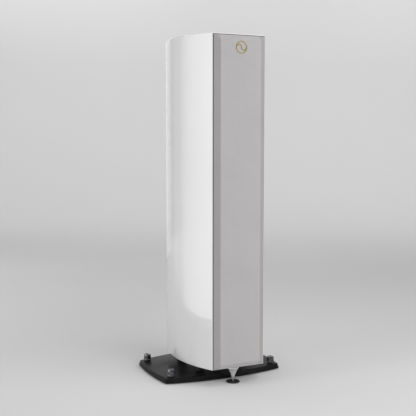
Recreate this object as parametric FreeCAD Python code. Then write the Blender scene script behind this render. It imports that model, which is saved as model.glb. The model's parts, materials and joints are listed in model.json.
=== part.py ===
import FreeCAD, Part
import math
import os

from FreeCAD import Vector

# A floorstanding loudspeaker, in millimetres. X runs to the right, Y to the back and Z up; the
# origin is on the floor, in the middle of the whole speaker's footprint. Most depths below are
# measured back from the plane of the cabinet's front, and most heights up from its underside.

# Cabinet
CABINET_HEIGHT = 1100.0
CABINET_DEPTH = 380.0
FRONT_HALF_WIDTH = 96.0
SIDE_BULGE = 48.3            # how far each side swells past the front's half width
EDGE_RADIUS = 3.0
CABINET_LIFT = 60.0          # floor to the cabinet's underside
BAFFLE = 25.0
SIDE_WALL = 18.0
BACK_WALL = 18.0
REACH = 200.0                # half width of any block that spans the whole cabinet
END_PANEL = 22.0

# Plinth
PLINTH_BOTTOM = 3.0
PLINTH_THICKNESS = 17.5
PLINTH_HALF_WIDTH = 218.5    # to each corner
PLINTH_FRONT = 102.5         # depth of the front corners
PLINTH_REAR = 357.0          # depth of the rear corners
PLINTH_FRONT_BULGE = 28.3
PLINTH_REAR_BULGE = 41.0
PLINTH_SIDE_BULGE = 10.0
PLINTH_CHAMFER = 2.0
SPACER_RADIUS = 16.0
SPACER_X = 70.0
SPACER_DEPTHS = (150.0, 310.0)
BOLT_HEAD_RADIUS = 6.5
BOLT_HEAD = 6.0
COUNTERBORE = (8.0, 7.0)     # radius, depth

# Levelling spikes and knobs
ROD_RADIUS = 4.0             # M8 threaded rod
RUNNING_GAP = 0.05
LEVELLER_X = 193.0
LEVELLER_DEPTHS = (119.0, 338.0)
INSERT_RADIUS = 6.5
INSERT_LENGTH = 17.5
SPIKE_POINT = 12.0           # length of the point
SPIKE_TIP = 0.8
RING_RADIUS = 10.0
RING_HEIGHT = 3.0
KNOB_GAP = 2.8               # clear height under the knob, for two turns down
KNOB_SKIRT_RADIUS = 14.0
KNOB_SKIRT = 3.5             # height of the straight skirt, above which the knob tapers
KNOB_TOP_RADIUS = 10.8
KNOB_HEIGHT = 22.0
KNOB_ROUND = 2.0             # rounding of the top edge
KNOB_DISH = 1.2              # depth of the shallow dish in the top
KNOB_CROWN = 5.8             # metal left above the rod's bore
KEY = 6.0                    # across the flats of every hexagonal socket
KEY_DEPTH = 2.6

# Front foot
FOOT_DEPTH = 37.0
FOOT_TOP_RADIUS = 20.0
FOOT_TIP_RADIUS = 2.2
FOOT_TOP = 53.0              # height of the cone's upper face above the floor
NUT_HEIGHT = 3.6
DISC_RADIUS = 23.0
DISC_HEIGHT = 3.6
DISC_EDGE = 1.2

# Grille
GRILLE_GAP = 2.0             # shadow gap between the grille and the baffle
GRILLE_PROUD = 16.0
GRILLE_HALF_WIDTH = 93.0
GRILLE_LOW = 1.5
GRILLE_HIGH = 1094.5
GRILLE_EDGE = 2.0            # straight edge behind the bevel
BEVEL_X = 19.5
BEVEL_Z = 16.0
CLOTH = 0.8
WINDOW_HALF_WIDTH = 66.0
WINDOWS = ((66.0, 232.0), (248.0, 390.0), (410.0, 587.5), (601.5, 760.0), (774.0, 916.0), (930.0, 1028.0))
PEG_X = 84.0
PEG_HEIGHTS = (40.0, 380.0, 765.0, 1055.0)
PEG_RADIUS = 4.0
PEG_REACH = 12.0
SOCKET_RADIUS = 7.0
EMBLEM_HEIGHT = 1055.0
EMBLEM_RADIUS = 20.0
EMBLEM_BAND = 2.6
EMBLEM_THICKNESS = 1.4

# Drivers: height of the centre, flange radius, cut-out radius
TWEETER = (978.0, 52.0, 38.0)
MIDRANGE = (845.0, 75.0, 64.0)
WOOFERS = (("upper", 681.0), ("lower", 508.0))
WOOFER_FLANGE = 82.5
WOOFER_CUTOUT = 72.0
FLANGE = 5.0
WOOFER_COIL = 16.0
WOOFER_DEPTH = 62.0          # front of the flange to the motor's front plate
WOOFER_MOTOR = (48.0, 34.0)  # radius, length
WOOFER_CONE = (58.0, 18.0)   # edge radius, neck radius
MIDRANGE_COIL = 13.0
MIDRANGE_DEPTH = 46.0
MIDRANGE_MOTOR = (42.0, 28.0)
MIDRANGE_CONE = (50.0, 15.0)
BASKET_WALL = 3.0
TWEETER_BACK = 40.0
SCREW_INSET = 5.0            # from a flange's rim to its screws
SCREW_RADIUS = 2.0
SCREW_LENGTH = 20.0
SCREW_HEAD_RADIUS = 3.6
SCREW_HEAD = 2.0

# Bass ports
PORT_HEIGHTS = (180.0, 300.0)
PORT_RADIUS = 30.0
PORT_LIP = 42.0
PORT_WALL = 3.0
PORT_LENGTH = 170.0

# Inside
BRACE = 15.0
WINDOW_BRACES = (400.0, 587.5)   # height of the underside
SHELVES = (759.5, 915.5)
WIRE_RADIUS = 2.5
WIRE_DEPTH = 312.0
WIRE_SPACING = 20.0
WIRE_BEND = 30.0
BRACE_WINDOW = (75.0, 105.0)     # width, depth
BRACE_WINDOW_X = (-85.0, 10.0)
BRACE_WINDOW_DEPTHS = (55.0, 175.0)
PAD_SPANS = ((430.0, 580.0), (610.0, 752.0), (782.0, 908.0), (938.0, 1070.0))
PAD_HALF_WIDTH = 80.0
PAD_THICKNESS = 32.0
PAD_ROUND = 10.0
COILS = ((-50.0, 246.0, 25.0, 24.0), (8.0, 243.0, 22.0, 20.0), (56.0, 243.0, 18.0, 16.0))
CANS = ((-76.0, 290.0, 11.0), (-76.0, 318.0, 11.0), (40.0, 290.0, 9.0), (40.0, 318.0, 11.0))
CAN_LENGTH = 36.0
BOARD_LOW = 28.0
BOARD_THICKNESS = 2.0
BOARD_DEPTHS = (215.0, 345.0)
BOARD_HALF_WIDTH = 80.0

# Terminals
CUP_HEIGHT = 150.0
CUP_HALF = (50.0, 38.0)
CUP_FLANGE = 12.0
CUP_WALL = 3.0
CUP_RECESS = 20.0
POST_X = 19.0
STEM_RADIUS = 4.0
STEM_REACH = 22.0
BANANA_RADIUS = 2.0
BANANA_DEPTH = 19.0
POST_BASE = 4.0
POST_INSIDE = 8.0            # stem left inside the cabinet, with its nut
POST_NUT_RADIUS = 6.5
CAP_GROOVES = 16
COLLAR = 2.5
COLLAR_RADIUS = 8.0
CAP_RADIUS = 9.0
CAP_LENGTH = 15.0

EMBLEM_FRONT = GRILLE_PROUD + EMBLEM_THICKNESS
PLINTH_BACK = PLINTH_REAR + PLINTH_REAR_BULGE
FRONT_Y = (EMBLEM_FRONT - PLINTH_BACK) / 2
HALF_DEPTH = CABINET_DEPTH / 2
SIDE_RADIUS = (HALF_DEPTH ** 2 + SIDE_BULGE ** 2) / (2 * SIDE_BULGE)
SIDE_CENTRE = SIDE_RADIUS - FRONT_HALF_WIDTH - SIDE_BULGE
PLINTH_TOP = PLINTH_BOTTOM + PLINTH_THICKNESS
KNOB_BOTTOM = PLINTH_TOP + KNOB_GAP
KNOB_TOP = KNOB_BOTTOM + KNOB_HEIGHT


def at(x, depth, height):
    """A point given by its depth behind the cabinet's front and its height above the underside."""
    return Vector(x, FRONT_Y + depth, CABINET_LIFT + height)


def closed_face(start, steps, lift):
    """A flat face. Each step is a point, for a line, or a pair (through, end), for an arc."""
    edges = []
    here = start
    for step in list(steps) + [start]:
        if isinstance(step[0], tuple):
            through, end = step
            edges.append(Part.Arc(lift(*here), lift(*through), lift(*end)).toShape())
        else:
            end = step
            if end != here:
                edges.append(Part.LineSegment(lift(*here), lift(*end)).toShape())
        here = end
    return Part.Face(Part.Wire(edges))


def turned_y(x, depth, height, start, steps):
    """A solid turned about an axis along Y. Profile points are (radius, depth past the given one)."""
    face = closed_face(start, steps, lambda r, a: Vector(r, a, 0))
    solid = face.revolve(Vector(0, 0, 0), Vector(0, 1, 0), 360)
    solid.translate(at(x, depth, height))
    return solid


def turned_z(x, depth, start, steps):
    """A solid turned about an upright axis. Profile points are (radius, height above the floor)."""
    face = closed_face(start, steps, lambda r, z: Vector(r, 0, z))
    solid = face.revolve(Vector(0, 0, 0), Vector(0, 0, 1), 360)
    solid.translate(Vector(x, FRONT_Y + depth, 0))
    return solid


def block(x0, x1, depth0, depth1, height0, height1):
    """A box between two corners."""
    return Part.makeBox(x1 - x0, depth1 - depth0, height1 - height0, at(x0, depth0, height0))


def rod_y(x, depth0, depth1, height, radius):
    return Part.makeCylinder(radius, depth1 - depth0, at(x, depth0, height), Vector(0, 1, 0))


def rod_z(x, depth, floor0, floor1, radius):
    """An upright cylinder between two heights above the floor."""
    return Part.makeCylinder(radius, floor1 - floor0, Vector(x, FRONT_Y + depth, floor0))


def ring_y(x, depth0, depth1, height, inner, outer):
    return rod_y(x, depth0, depth1, height, outer).cut(rod_y(x, depth0, depth1, height, inner))


def hexagon_z(x, depth, floor0, floor1, across_flats):
    """An upright hexagonal bar between two heights above the floor."""
    radius = across_flats / math.sqrt(3)
    points = []
    for i in range(7):
        angle = math.radians(60 * i)
        across, back = radius * math.cos(angle), radius * math.sin(angle)
        points.append(Vector(x + across, FRONT_Y + depth + back, floor0))
    return Part.Face(Part.makePolygon(points)).extrude(Vector(0, 0, floor1 - floor0))


def bolt_circle(centre_height, radius, count, first=0.0):
    """Points (x, height) evenly round a circle on the baffle."""
    points = []
    for i in range(count):
        angle = math.radians(first + 360 * i / count)
        points.append((radius * math.cos(angle), centre_height + radius * math.sin(angle)))
    return points


def cap_arc(radius, edge, crown):
    """The arc step from (radius, edge) to a rounded crown on the axis, part of a true sphere."""
    height = abs(edge - crown)
    sphere = (radius ** 2 + height ** 2) / (2 * height)
    half = math.asin(radius / sphere) / 2
    rise = sphere * (1 - math.cos(half))
    return (sphere * math.sin(half), crown + math.copysign(rise, edge - crown)), (0, crown)


def cap_arc_out(radius, edge, crown):
    """The same arc from the crown out to the edge."""
    return cap_arc(radius, edge, crown)[0], (radius, edge)


def side_x(depth, inset=0.0):
    """Half the cabinet's width at a depth, less a wall of the given thickness."""
    return math.sqrt((SIDE_RADIUS - inset) ** 2 - (depth - HALF_DEPTH) ** 2) - SIDE_CENTRE


def barrel(depth0, depth1, inset, height0, height1):
    """An upright block with the cabinet's curved sides."""
    middle = (depth0 + depth1) / 2
    x0, xm, x1 = side_x(depth0, inset), side_x(middle, inset), side_x(depth1, inset)
    face = closed_face(
        (-x0, depth0),
        [(x0, depth0), ((xm, middle), (x1, depth1)), (-x1, depth1), ((-xm, middle), (-x0, depth0))],
        lambda x, depth: at(x, depth, height0),
    )
    return face.extrude(Vector(0, 0, height1 - height0))


# Places of everything that is screwed or pushed into the baffle

def driver_screw_points():
    points = bolt_circle(TWEETER[0], TWEETER[1] - SCREW_INSET, 4, 45)
    points += bolt_circle(MIDRANGE[0], MIDRANGE[1] - SCREW_INSET, 6, 30)
    for _, height in WOOFERS:
        points += bolt_circle(height, WOOFER_FLANGE - SCREW_INSET, 8, 22.5)
    return points


def cup_screw_points():
    x = CUP_HALF[0] + CUP_FLANGE / 2
    z = CUP_HALF[1] + CUP_FLANGE / 2
    return [(sx * x, CUP_HEIGHT + sz * z) for sx in (-1, 1) for sz in (-1, 1)]


def peg_points():
    return [(sx * PEG_X, height) for sx in (-1, 1) for height in PEG_HEIGHTS]


def leveller_points():
    names = {(-1, 0): "front_left", (1, 0): "front_right", (-1, 1): "rear_left", (1, 1): "rear_right"}
    return [(names[sx, i], sx * LEVELLER_X, LEVELLER_DEPTHS[i]) for i in (0, 1) for sx in (-1, 1)]


def spacer_points():
    return [(sx * SPACER_X, depth) for depth in SPACER_DEPTHS for sx in (-1, 1)]


# Cabinet

def cabinet_block():
    """The whole cabinet's outside, with every edge rounded."""
    outside = barrel(0, CABINET_DEPTH, 0, 0, CABINET_HEIGHT)
    return outside.makeFillet(EDGE_RADIUS, outside.Edges)


def front_baffle(outside):
    panel = outside.common(block(-REACH, REACH, -1, BAFFLE, -1, CABINET_HEIGHT + 1))
    holes = []
    flanges = [TWEETER, MIDRANGE] + [(height, WOOFER_FLANGE, WOOFER_CUTOUT) for _, height in WOOFERS]
    for height, flange, cutout in flanges:
        holes.append(rod_y(0, -1, BAFFLE + 1, height, cutout))
        holes.append(rod_y(0, -1, FLANGE, height, flange))
    for height in PORT_HEIGHTS:
        holes.append(rod_y(0, -1, BAFFLE + 1, height, PORT_RADIUS + PORT_WALL))
        holes.append(rod_y(0, -1, PORT_WALL, height, PORT_LIP))
    for x, height in driver_screw_points():
        holes.append(rod_y(x, 0, SCREW_LENGTH + SCREW_HEAD, height, SCREW_RADIUS + RUNNING_GAP))
    for x, height in peg_points():
        holes.append(rod_y(x, -1, PEG_REACH + 2, height, SOCKET_RADIUS))
    return panel.cut(holes)


def side_panels(outside):
    """The two curved sides, left then right."""
    middle = outside.common(block(-REACH, REACH, BAFFLE, CABINET_DEPTH - BACK_WALL, -1, CABINET_HEIGHT + 1))
    hollow = barrel(BAFFLE, CABINET_DEPTH - BACK_WALL, SIDE_WALL, -1, CABINET_HEIGHT + 1)
    walls = middle.cut(hollow).Solids
    walls.sort(key=lambda wall: wall.CenterOfMass.x)
    return walls


def end_panel(outside, height0, height1):
    """The top or the bottom panel, which fits between the sides, the baffle and the back."""
    inner = barrel(BAFFLE, CABINET_DEPTH - BACK_WALL, SIDE_WALL, height0, height1)
    return inner.common(outside)


def bottom_panel(outside):
    panel = end_panel(outside, 0, END_PANEL)
    places = spacer_points() + [(0, FOOT_DEPTH)]
    top = CABINET_LIFT + INSERT_LENGTH
    return panel.cut([rod_z(x, depth, CABINET_LIFT - 1, top, INSERT_RADIUS) for x, depth in places])


def back_panel(outside):
    depth = CABINET_DEPTH - BACK_WALL
    panel = outside.common(block(-REACH, REACH, depth, CABINET_DEPTH + 1, -1, CABINET_HEIGHT + 1))
    half_x, half_z = CUP_HALF
    cutout = block(-half_x, half_x, depth - 1, CABINET_DEPTH + 1, CUP_HEIGHT - half_z, CUP_HEIGHT + half_z)
    pilots = []
    for x, height in cup_screw_points():
        pilots.append(rod_y(x, CABINET_DEPTH - SCREW_LENGTH + 3, CABINET_DEPTH + 1, height,
                            SCREW_RADIUS + RUNNING_GAP))
    return panel.cut([cutout] + pilots)


def wire_places():
    """Each driver's pair of wires: (x, height where it turns forward, depth where it ends)."""
    woofer_back = WOOFER_DEPTH + BASKET_WALL + WOOFER_MOTOR[1]
    midrange_back = MIDRANGE_DEPTH + BASKET_WALL + MIDRANGE_MOTOR[1]
    ends = [(WOOFERS[1][1], woofer_back), (WOOFERS[0][1], woofer_back), (MIDRANGE[0], midrange_back),
            (TWEETER[0], TWEETER_BACK)]
    return [(WIRE_SPACING * (i - 1.5), turn, end) for i, (turn, end) in enumerate(ends)]


def internal_braces():
    """Two braces with windows and two closed shelves, which wall off the midrange's chamber."""
    pieces = []
    wires = wire_places()
    for height in WINDOW_BRACES + SHELVES:
        piece = barrel(BAFFLE, CABINET_DEPTH - BACK_WALL, SIDE_WALL, height, height + BRACE)
        holes = []
        for x, turn, _ in wires:
            if turn > height:
                holes.append(rod_z(x, WIRE_DEPTH, CABINET_LIFT + height - 1,
                                   CABINET_LIFT + height + BRACE + 1, WIRE_RADIUS + 0.5))
        if height in WINDOW_BRACES:
            width, length = BRACE_WINDOW
            for depth in BRACE_WINDOW_DEPTHS:
                for x in BRACE_WINDOW_X:
                    holes.append(block(x, x + width, depth, depth + length, height - 1, height + BRACE + 1))
        pieces.append(piece.cut(holes))
    return Part.makeCompound(pieces)


def damping_wadding():
    """Blankets of wadding on the back wall, one between each pair of braces."""
    depth = CABINET_DEPTH - BACK_WALL
    pads = []
    for low, high in PAD_SPANS:
        pad = block(-PAD_HALF_WIDTH, PAD_HALF_WIDTH, depth - PAD_THICKNESS, depth, low, high)
        pads.append(pad.makeFillet(PAD_ROUND, pad.Edges[:4]))
    return Part.makeCompound(pads)


# Drivers

def basket(height, flange, cutout, cone_edge, depth, motor_radius, coil, screws):
    """A cast basket: a flange, six legs and a plate for the motor."""
    seat = cone_edge + 3
    throat = motor_radius - 6
    body = turned_y(0, 0, height, (seat, 3), [
        (seat + 6, 3), (seat + 6, 0), (flange - 0.3, 0), (flange - 0.3, FLANGE), (cutout - 0.5, FLANGE),
        (cutout - 0.5, FLANGE + 6), (throat + 4, depth), (throat + 4, depth + BASKET_WALL),
        (coil + 3, depth + BASKET_WALL), (coil + 3, depth), (throat, depth), (cutout - 5, FLANGE + 6),
        (cutout - 5, FLANGE), (seat, FLANGE),
    ])
    cuts = []
    for i in range(6):
        half = 0.22 * cutout
        window = block(-half, half, FLANGE + 9, depth - 5, height, height + cutout + 5)
        window.rotate(at(0, 0, height), Vector(0, 1, 0), 60 * i + 30)
        cuts.append(window)
    for x, z in screws:
        cuts.append(rod_y(x, -1, SCREW_HEAD, z, SCREW_HEAD_RADIUS + 0.2))
        cuts.append(rod_y(x, -1, FLANGE + 1, z, SCREW_RADIUS + RUNNING_GAP))
    return body.cut(cuts)


def motor(height, depth, size, coil):
    """A ring magnet between two steel plates, with a pole up the middle and a gap for the coil."""
    radius, length = size
    front = depth + BASKET_WALL
    return turned_y(0, front, height, (0, -10), [
        (coil - 0.8, -10), (coil - 0.8, length - 7), (coil + 6, length - 7), (coil + 6, 6), (coil + 0.8, 6),
        (coil + 0.8, 0), (radius - 4, 0), (radius - 4, 6), (radius, 6), (radius, length - 6),
        (radius - 4, length - 6), (radius - 4, length), (0, length),
    ])


def cone(height, edge, neck, depth, coil, dished):
    """A cone with its voice coil former; a dished one closes over the pole, another is open there."""
    skin = 1.2
    neck_depth = depth - 14
    end = depth + BASKET_WALL + 12
    steps = [(edge + 1.5, 2.4), (edge, 2.4 + skin)]
    bend = ((edge + neck) / 2 + 3, (neck_depth + 2.4) / 2 + 4)
    inner_bend = (bend[0] + 0.8, bend[1] - 1.4)
    steps.append(((bend[0], bend[1] + 1), (neck, neck_depth + skin)))
    inside, outside = coil - 0.4, coil + 0.4
    steps += [(outside, neck_depth + skin), (outside, end), (inside, end), (inside, neck_depth + skin)]
    if dished:
        steps += [cap_arc(inside, neck_depth + skin, neck_depth - 4), (0, neck_depth - 4 - skin),
                  cap_arc_out(inside, neck_depth - 0.4, neck_depth - 4 - skin)]
    else:
        steps += [(inside, neck_depth - 0.4)]
    steps.append((inner_bend, (edge, 1.2)))
    return turned_y(0, 0, height, (edge + 1.5, 1.2), steps)


def surround(height, edge):
    """A half-roll of rubber from the cone's edge out to the basket."""
    inner, outer = edge - 1, edge + 9
    skin = 1.0
    roll_in, roll_out = edge + 1.5, edge + 7.5
    middle = (roll_in + roll_out) / 2
    lift = -(roll_out - roll_in) / 2
    return turned_y(0, 0, height, (inner, 1.2), [
        (inner, 0.2), (roll_in, 0.2), ((middle, lift), (roll_out, 0.2)), (outer - 0.2, 0.2),
        (outer - 0.2, 3), (edge + 3.2, 3), (edge + 3.2, 2.0), (roll_out - skin, 2.0), (roll_out - skin, 1.2),
        ((middle, lift + skin + 1), (roll_in + skin, 1.2)),
    ])


def spider(height, depth, coil, outer):
    """A corrugated cloth ring that centres the coil; it stands clear of the former."""
    inner = coil + 0.8
    steps = []
    waves = 4
    pitch = (outer - inner) / waves
    for i in range(waves):
        start = inner + i * pitch
        lift = -2.0 if i % 2 == 0 else 2.0
        steps.append(((start + pitch / 2, lift), (start + pitch, 0)))
    steps.append((outer, 0.8))
    for i in reversed(range(waves)):
        start = inner + i * pitch
        lift = -2.0 if i % 2 == 0 else 2.0
        steps.append(((start + pitch / 2, lift + 0.8), (start, 0.8)))
    return turned_y(0, depth - 8, height, (inner, 0), steps)


def phase_plug():
    """The fixed bullet on the midrange's pole."""
    front = MIDRANGE_DEPTH + BASKET_WALL - 10
    radius = MIDRANGE_COIL - 1.6
    return turned_y(0, front, MIDRANGE[0], (0, 0), [
        (0, -34), cap_arc_out(radius * 0.4, -32, -34), ((radius * 0.8, -19), (radius, 0)),
    ])


def tweeter_faceplate():
    """A round plate with a shallow horn round the dome."""
    height, flange, cutout = TWEETER
    plate = turned_y(0, 0, height, (17.5, 4.2), [
        ((21.5, 2.4), (30, 0)), (flange - 0.3, 0), (flange - 0.3, FLANGE), (cutout - 1, FLANGE),
        (cutout - 1, FLANGE + 3), (17.5, FLANGE + 3),
    ])
    cuts = []
    for x, z in bolt_circle(height, flange - SCREW_INSET, 4, 45):
        cuts.append(rod_y(x, -1, SCREW_HEAD, z, SCREW_HEAD_RADIUS + 0.2))
        cuts.append(rod_y(x, -1, FLANGE + 1, z, SCREW_RADIUS + RUNNING_GAP))
    return plate.cut(cuts)


def tweeter_dome():
    """A soft dome pressed in one piece with its roll surround and the coil former below."""
    return turned_y(0, 0, TWEETER[0], (16.8, 6.6), [
        (16.8, 5.9), ((15.0, 4.6), (13.2, 5.9)), cap_arc(13.2, 5.9, -0.6), (0, 0.1),
        cap_arc_out(12.3, 6.6, 0.1), (12.3, 13.0), (12.8, 13.0), (12.8, 6.6), (13.6, 6.6),
        ((15.0, 5.4), (16.2, 6.6)),
    ])


def tweeter_motor():
    """The tweeter's magnet, plates and the closed chamber behind it."""
    top = FLANGE + 3
    return turned_y(0, 0, TWEETER[0], (0, top), [
        (11.8, top), (11.8, 18), (16.5, 18), (16.5, 12), (13.4, 12), (13.4, top + 0.8), (15.8, top + 0.8),
        (15.8, top), (34, top), (34, 24), (28, 30), (28, TWEETER_BACK), (0, TWEETER_BACK),
    ])


def screw(x, depth, height, forwards):
    """An M4 screw with a low head; forwards is -1 where the head faces the front, 1 the back."""
    head0, head1 = sorted((depth, depth - forwards * SCREW_HEAD))
    shank0, shank1 = sorted((depth - forwards * SCREW_HEAD, depth - forwards * (SCREW_LENGTH - 0.5)))
    shank = rod_y(x, shank0, shank1, height, SCREW_RADIUS)
    solid = rod_y(x, head0, head1, height, SCREW_HEAD_RADIUS).fuse(shank)
    slot_depth = sorted((depth + forwards, depth - forwards * 1.2))
    cross = block(x - 2.2, x + 2.2, slot_depth[0], slot_depth[1], height - 0.4, height + 0.4)
    cross = cross.fuse(block(x - 0.4, x + 0.4, slot_depth[0], slot_depth[1], height - 2.2, height + 2.2))
    return solid.cut(cross).removeSplitter()


def panel_screws():
    screws = [screw(x, 0, z, -1) for x, z in driver_screw_points()]
    screws += [screw(x, CABINET_DEPTH + CUP_WALL, z, 1) for x, z in cup_screw_points()]
    return Part.makeCompound(screws)


def bass_ports():
    """Two flared tubes through the lower baffle."""
    tubes = []
    for height in PORT_HEIGHTS:
        outer = PORT_RADIUS + PORT_WALL
        tubes.append(turned_y(0, 0, height, (PORT_LIP, 0), [
            (PORT_LIP, PORT_WALL), (outer, PORT_WALL), (outer, PORT_LENGTH - 12),
            ((outer + 1.5, PORT_LENGTH - 5), (outer + 7, PORT_LENGTH)), (outer + 4, PORT_LENGTH),
            ((outer - 1.5, PORT_LENGTH - 5), (PORT_RADIUS, PORT_LENGTH - 14)), (PORT_RADIUS, 14),
            ((PORT_RADIUS + 3.2, 4), (PORT_LIP - 2, 0)),
        ]))
    return Part.makeCompound(tubes)


# Crossover and wiring

def crossover_board():
    """A circuit board on six short feet."""
    low, high = BOARD_LOW, BOARD_LOW + BOARD_THICKNESS
    board = block(-BOARD_HALF_WIDTH, BOARD_HALF_WIDTH, BOARD_DEPTHS[0], BOARD_DEPTHS[1], low, high)
    feet = []
    for x in (-BOARD_HALF_WIDTH + 8, 0, BOARD_HALF_WIDTH - 8):
        for depth in (BOARD_DEPTHS[0] + 8, BOARD_DEPTHS[1] - 8):
            feet.append(rod_z(x, depth, CABINET_LIFT + END_PANEL, CABINET_LIFT + low, 3))
    return board.multiFuse(feet)


def crossover_inductors():
    base = CABINET_LIFT + BOARD_LOW + BOARD_THICKNESS
    coils = []
    for x, depth, radius, length in COILS:
        coils.append(rod_z(x, depth, base, base + length, radius).cut(
            rod_z(x, depth, base, base + length, radius * 0.45)))
    return Part.makeCompound(coils)


def crossover_capacitors():
    base = BOARD_LOW + BOARD_THICKNESS
    cans = []
    for x, depth, radius in CANS:
        start = at(x, depth, base + radius + 0.2)
        cans.append(Part.makeCylinder(radius, CAN_LENGTH, start, Vector(1, 0, 0)))
    return Part.makeCompound(cans)


def bent_wire(start, corner, end, radius):
    """A round wire along two straight runs joined by an arc."""
    first = (start - corner).normalize()
    second = (end - corner).normalize()
    half_turn = (math.pi - first.getAngle(second)) / 2
    setback = radius * math.tan(half_turn)
    on = corner + first * setback
    off = corner + second * setback
    bisector = (first + second).normalize()
    centre = corner + bisector * (radius / math.cos(half_turn))
    through = centre - bisector * radius
    path = Part.Wire([
        Part.LineSegment(start, on).toShape(),
        Part.Arc(on, through, off).toShape(),
        Part.LineSegment(off, end).toShape(),
    ])
    section = Part.Wire(Part.makeCircle(WIRE_RADIUS, start, corner - start))
    return path.makePipeShell([section], True, False)


def wiring():
    """One cable to each driver and one from each terminal, all from the crossover board."""
    base = BOARD_LOW + BOARD_THICKNESS
    wires = []
    for x, turn, end_depth in wire_places():
        start, corner = at(x, WIRE_DEPTH, base), at(x, WIRE_DEPTH, turn)
        wires.append(bent_wire(start, corner, at(x, end_depth, turn), WIRE_BEND))
    inner_end = cup_floor() - POST_INSIDE
    for x in (-POST_X, POST_X):
        wires.append(bent_wire(at(x, inner_end - 17, base), at(x, inner_end - 17, CUP_HEIGHT),
                               at(x, inner_end, CUP_HEIGHT), WIRE_BEND / 2))
    return Part.makeCompound(wires)


# Terminals

def cup_floor():
    """Depth of the recess's floor, where the posts stand."""
    return CABINET_DEPTH - CUP_RECESS


def terminal_cup():
    half_x, half_z = CUP_HALF
    low, high = CUP_HEIGHT - half_z, CUP_HEIGHT + half_z
    edge = CUP_FLANGE
    rim = CABINET_DEPTH + CUP_WALL
    flange = block(-half_x - edge, half_x + edge, CABINET_DEPTH, rim, low - edge, high + edge)
    corners = [line for line in flange.Edges if abs(line.tangentAt(line.FirstParameter).y) > 0.9]
    flange = flange.makeFillet(6, corners)
    loose = 0.3
    tub = block(-half_x + loose, half_x - loose, cup_floor() - CUP_WALL, CABINET_DEPTH + 0.5,
                low + loose, high - loose)
    inside = block(-half_x + CUP_WALL, half_x - CUP_WALL, cup_floor(), rim + 1,
                   low + CUP_WALL, high - CUP_WALL)
    cuts = [inside]
    for x in (-POST_X, POST_X):
        cuts.append(rod_y(x, cup_floor() - CUP_WALL - 1, cup_floor() + 1, CUP_HEIGHT, STEM_RADIUS + 0.1))
    for x, z in cup_screw_points():
        cuts.append(rod_y(x, CABINET_DEPTH - 1, rim + 1, z, SCREW_RADIUS + RUNNING_GAP))
        cuts.append(rod_y(x, rim - SCREW_HEAD, rim + 1, z, SCREW_HEAD_RADIUS + 0.2))
    return flange.fuse(tub).cut(cuts).removeSplitter()


def terminal_posts():
    """Two gilt stems with a socket for a 4 mm plug, a base each, and a nut inside the cabinet."""
    posts = []
    floor = cup_floor()
    tip = floor + STEM_REACH
    for x in (-POST_X, POST_X):
        stem = rod_y(x, floor - POST_INSIDE, tip, CUP_HEIGHT, STEM_RADIUS)
        base = rod_y(x, floor, floor + POST_BASE, CUP_HEIGHT, CAP_RADIUS)
        nut = rod_y(x, floor - POST_INSIDE + 1, floor - CUP_WALL, CUP_HEIGHT, POST_NUT_RADIUS)
        socket = rod_y(x, tip - BANANA_DEPTH, tip + 1, CUP_HEIGHT, BANANA_RADIUS)
        posts.append(stem.multiFuse([base, nut]).cut(socket))
    return Part.makeCompound(posts)


def post_collar(x):
    """The gilt clamp ring that presses a bare wire onto the base."""
    start = cup_floor() + POST_BASE
    return ring_y(x, start, start + COLLAR, CUP_HEIGHT, STEM_RADIUS + RUNNING_GAP, COLLAR_RADIUS)


def post_cap(x):
    """The screw cap, ribbed for the fingers."""
    start = cup_floor() + POST_BASE + COLLAR
    inner = STEM_RADIUS + RUNNING_GAP
    cap = turned_y(x, start, CUP_HEIGHT, (inner, 0), [
        (CAP_RADIUS - 1, 0), (CAP_RADIUS, 1), (CAP_RADIUS, CAP_LENGTH - 2), (CAP_RADIUS - 2, CAP_LENGTH),
        (inner, CAP_LENGTH),
    ])
    grooves = []
    for i in range(CAP_GROOVES):
        groove = rod_y(x, start + 2, start + CAP_LENGTH + 1, CUP_HEIGHT + CAP_RADIUS + 0.5, 1.0)
        groove.rotate(at(x, 0, CUP_HEIGHT), Vector(0, 1, 0), 360 / CAP_GROOVES * i)
        grooves.append(groove)
    return cap.cut(grooves)


# Grille

def bevelled_slab(inset):
    """The grille's outside, moved in by the given amount everywhere except at the back."""
    half = GRILLE_HALF_WIDTH - inset
    low, high = GRILLE_LOW + inset, GRILLE_HIGH - inset
    back, edge, face = -GRILLE_GAP, -GRILLE_GAP - GRILLE_EDGE, -GRILLE_PROUD + inset

    def rectangle(x, depth, low, high):
        corners = [at(-x, depth, low), at(x, depth, low), at(x, depth, high), at(-x, depth, high)]
        return Part.makePolygon(corners + corners[:1])

    wide = rectangle(half, edge, low, high)
    narrow = rectangle(half - BEVEL_X, face, low + BEVEL_Z, high - BEVEL_Z)
    bevels = Part.makeLoft([wide, narrow], True, True)
    return block(-half, half, edge, back, low, high).fuse(bevels).removeSplitter()


def emblem_pins(radius):
    """The emblem's two pins, which go through the cloth into the frame."""
    return [rod_y(x, -GRILLE_PROUD - 0.2, -GRILLE_PROUD + 6, EMBLEM_HEIGHT, radius) for x in (-18.5, 18.5)]


def grille_frame():
    frame = bevelled_slab(CLOTH)
    cuts = []
    for low, high in WINDOWS:
        window = block(-WINDOW_HALF_WIDTH, WINDOW_HALF_WIDTH, -GRILLE_PROUD - 1, 0, low, high)
        uprights = [line for line in window.Edges if abs(line.tangentAt(line.FirstParameter).y) > 0.9]
        cuts.append(window.makeFillet(8, uprights))
    for x, height in peg_points():
        cuts.append(rod_y(x, -GRILLE_GAP - 4, 0, height, PEG_RADIUS))
    return frame.cut(cuts + emblem_pins(1.1))


def grille_cloth():
    """The cloth stretched over the frame's front and bevels."""
    return bevelled_slab(0).cut([bevelled_slab(CLOTH)] + emblem_pins(1.1))


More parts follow.
